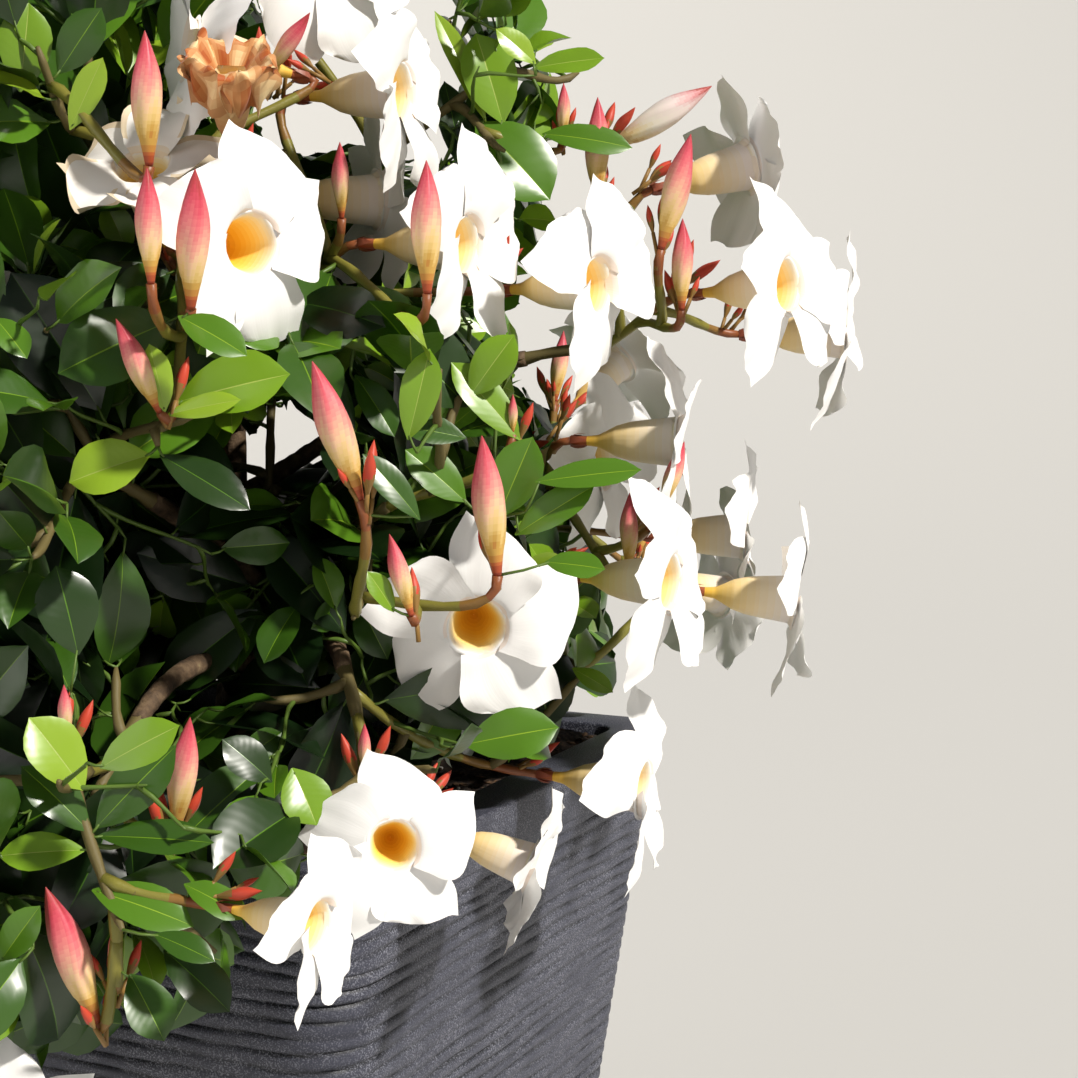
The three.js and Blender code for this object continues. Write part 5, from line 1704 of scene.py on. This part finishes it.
# kind is plain, pale or little; a little one has only its foot and its red end
def addSpindle(store, foot, axis, length, rand, kind):
    look = budLook
    size = littleLook if kind == "little" else budLook
    t = np.linspace(0, 1, size["rows"])
    stations, radii = np.array(look["outline"]).T
    radii = np.interp(t, stations, radii) * length * size["slender"]
    side = sideOf(axis)
    other = np.cross(axis, side)
    angles = np.arange(size["sides"]) * (2 * math.pi / size["sides"])
    ridge = 1 + look["ridge"] * np.cos(5 * angles[None, :]) * (t[:, None] > look["ridgeFrom"])
    turned = angles[None, :] + look["twist"] * t[:, None] + rand() * fullTurn
    r = radii[:, None] * ridge
    points = (foot + (r * np.cos(turned))[..., None] * side + (r * np.sin(turned))[..., None] * other
              + (t[:, None] * length + 0 * turned)[..., None] * axis)
    middle = ((t[1:] + t[:-1]) / 2)[:, None]
    level = middle + look["pinker"] * np.cos(angles)[None, :] + look["streak"] * np.cos(5 * angles)[None, :]
    level = np.clip(np.where(middle < look["plainTo"], middle, level), 0, 1)
    marks = np.round(level * (look["steps"] - 1)).astype(int)
    if kind == "pale":
        marks = marks + firstPale
    if kind == "little":
        marks = np.where(level < littleLook["redFrom"], littleFoot, littleRed)
    index = addGrid(store, points, marks, closed=True)
    store["faces"].append(index[0, -2::-1].tolist())
    store["marks"].append(int(marks[0, 0]))


def addLittles(store, foot, axis, rand):
    look = littleLook
    side = sideOf(axis)
    other = np.cross(axis, side)
    for k in range(look["fewest"] + int(rand() * look["more"])):
        angle = k * look["round"] + rand()
        out = side * math.cos(angle) + other * math.sin(angle)
        way = unit(out * look["out"] + axis * within(rand, look["alongs"]) + up * look["upward"])
        start = foot - axis * within(rand, look["below"])
        neck = start + way * within(rand, look["stalk"])
        length = look["length"] * within(rand, look["lengths"])
        tip = np.array([neck + way * length])
        if inPlanter(tip, 2).any() or inOpenWay(tip) or hurdleGap(tip, 0.5).min() < 0:
            continue
        addTube(store, np.array([start, neck + way]), np.array(look["stalkRadii"]), 5, littleFoot)
        addSpindle(store, neck, way, length, rand, "little")


def makeBuds(group):
    store = newStore()
    for plant in plants:
        if groupOf[plant["mass"]["name"]] != group:
            continue
        rand = seeded(plant["index"] * 467 + 9)
        ends = [(b["middle"] - b["axis"] * (b["length"] / 2), b["axis"]) for b in plant["buds"]]
        for bud, (foot, axis) in zip(plant["buds"], ends):
            addSpindle(store, foot, axis, bud["length"], rand, "pale" if bud["pale"] else "plain")
        for bloom in plant["blooms"]:
            tube = bloomSize["tube"] * bloomLooks[bloom["look"]][0]
            behind = tube + littleLook["behindBloom"]
            ends.append((bloom["centre"] - bloom["axis"] * behind, bloom["axis"]))
        for foot, axis in ends:
            addLittles(store, foot, axis, rand)
    makeJoined(f"buds{group}", store, budSkins, nodesOf[group])


for group in groups:
    makeBuds(group)

# pale studio floor, with light from the right and above as on the real plant
stageLook = {
    "floor": "#d0cfcc", "radius": 3, "flatRings": 6, "bend": 16, "arc": 44, "bentRings": 16, "turns": 64,
    "sun": 4.5, "sunWidth": 4, "sunColour": "#fffaf2", "sky": "#d4dbe6", "skyStrength": 0.17,
    "fill": 19, "fillSize": 2.2, "fillColour": "#f4eef0", "fillPlace": (-1.3, -2.4, 1.2),
    "fillAim": (0.05, -0.05, 0.5),
}


# a round floor that curves up on all sides
def makeFloor():
    look = stageLook
    bowl = bmesh.new()
    outline = [(look["radius"] * k / look["flatRings"], 0) for k in range(1, look["flatRings"] + 1)]
    for k in range(1, look["bentRings"] + 1):
        angle = math.radians(look["arc"]) * k / look["bentRings"]
        outline.append((look["radius"] + look["bend"] * math.sin(angle),
                        look["bend"] * (1 - math.cos(angle))))
    last = bowl.verts.new((0, 0, 0))
    for x, z in outline:
        vert = bowl.verts.new((x, 0, z))
        bowl.edges.new((last, vert))
        last = vert
    bmesh.ops.spin(bowl, geom=bowl.verts[:] + bowl.edges[:], cent=(0, 0, 0), axis=(0, 0, 1),
                   angle=2 * math.pi, steps=look["turns"], use_merge=True)
    bmesh.ops.remove_doubles(bowl, verts=bowl.verts[:], dist=1e-5)
    bmesh.ops.recalc_face_normals(bowl, faces=bowl.faces[:])
    bmesh.ops.reverse_faces(bowl, faces=bowl.faces[:])
    for face in bowl.faces:
        face.smooth = True
    piece = bpy.data.objects.new("studioFloor", toMesh(bowl, "studioFloor"))
    bpy.context.scene.collection.objects.link(piece)
    piece.data.materials.append(newMaterial("paleFloor", look["floor"], 0.9)[0])


def addLamp(light, colour, energy):
    light.color = hexColour(colour)[:3]
    light.energy = energy
    lamp = bpy.data.objects.new(light.name, light)
    bpy.context.scene.collection.objects.link(lamp)
    return lamp


def addLights():
    look = stageLook
    world = bpy.data.worlds.new("softSky")
    bpy.context.scene.world = world
    world.use_nodes = True
    sky = world.node_tree.nodes["Background"]
    sky.inputs["Color"].default_value = hexColour(look["sky"])
    sky.inputs["Strength"].default_value = look["skyStrength"]

    sun = bpy.data.lights.new("keyLight", "SUN")
    sun.angle = math.radians(look["sunWidth"])
    lamp = addLamp(sun, look["sunColour"], look["sun"])
    lamp.rotation_euler = Vector(sunward).to_track_quat("Z", "Y").to_euler()

    fill = bpy.data.lights.new("fillLight", "AREA")
    fill.shape = "DISK"
    fill.size = look["fillSize"]
    lamp = addLamp(fill, look["fillColour"], look["fill"])
    lamp.location = look["fillPlace"]
    toPlant = Vector(look["fillAim"]) - Vector(look["fillPlace"])
    lamp.rotation_euler = toPlant.to_track_quat("-Z", "Y").to_euler()


makeFloor()
addLights()

# the photograph's viewpoint, a little above the rim
camera = bpy.data.cameras.new("photoView")
camera.lens = 66.8
camera.sensor_width = 36
viewer = bpy.data.objects.new("photoView", camera)
viewer.location = Vector(viewPlace) * mm
viewer.rotation_euler = Vector(viewAhead).to_track_quat("-Z", "Y").to_euler()
bpy.context.scene.collection.objects.link(viewer)
bpy.context.scene.camera = viewer
bpy.context.scene.view_settings.view_transform = "Standard"

print("done")
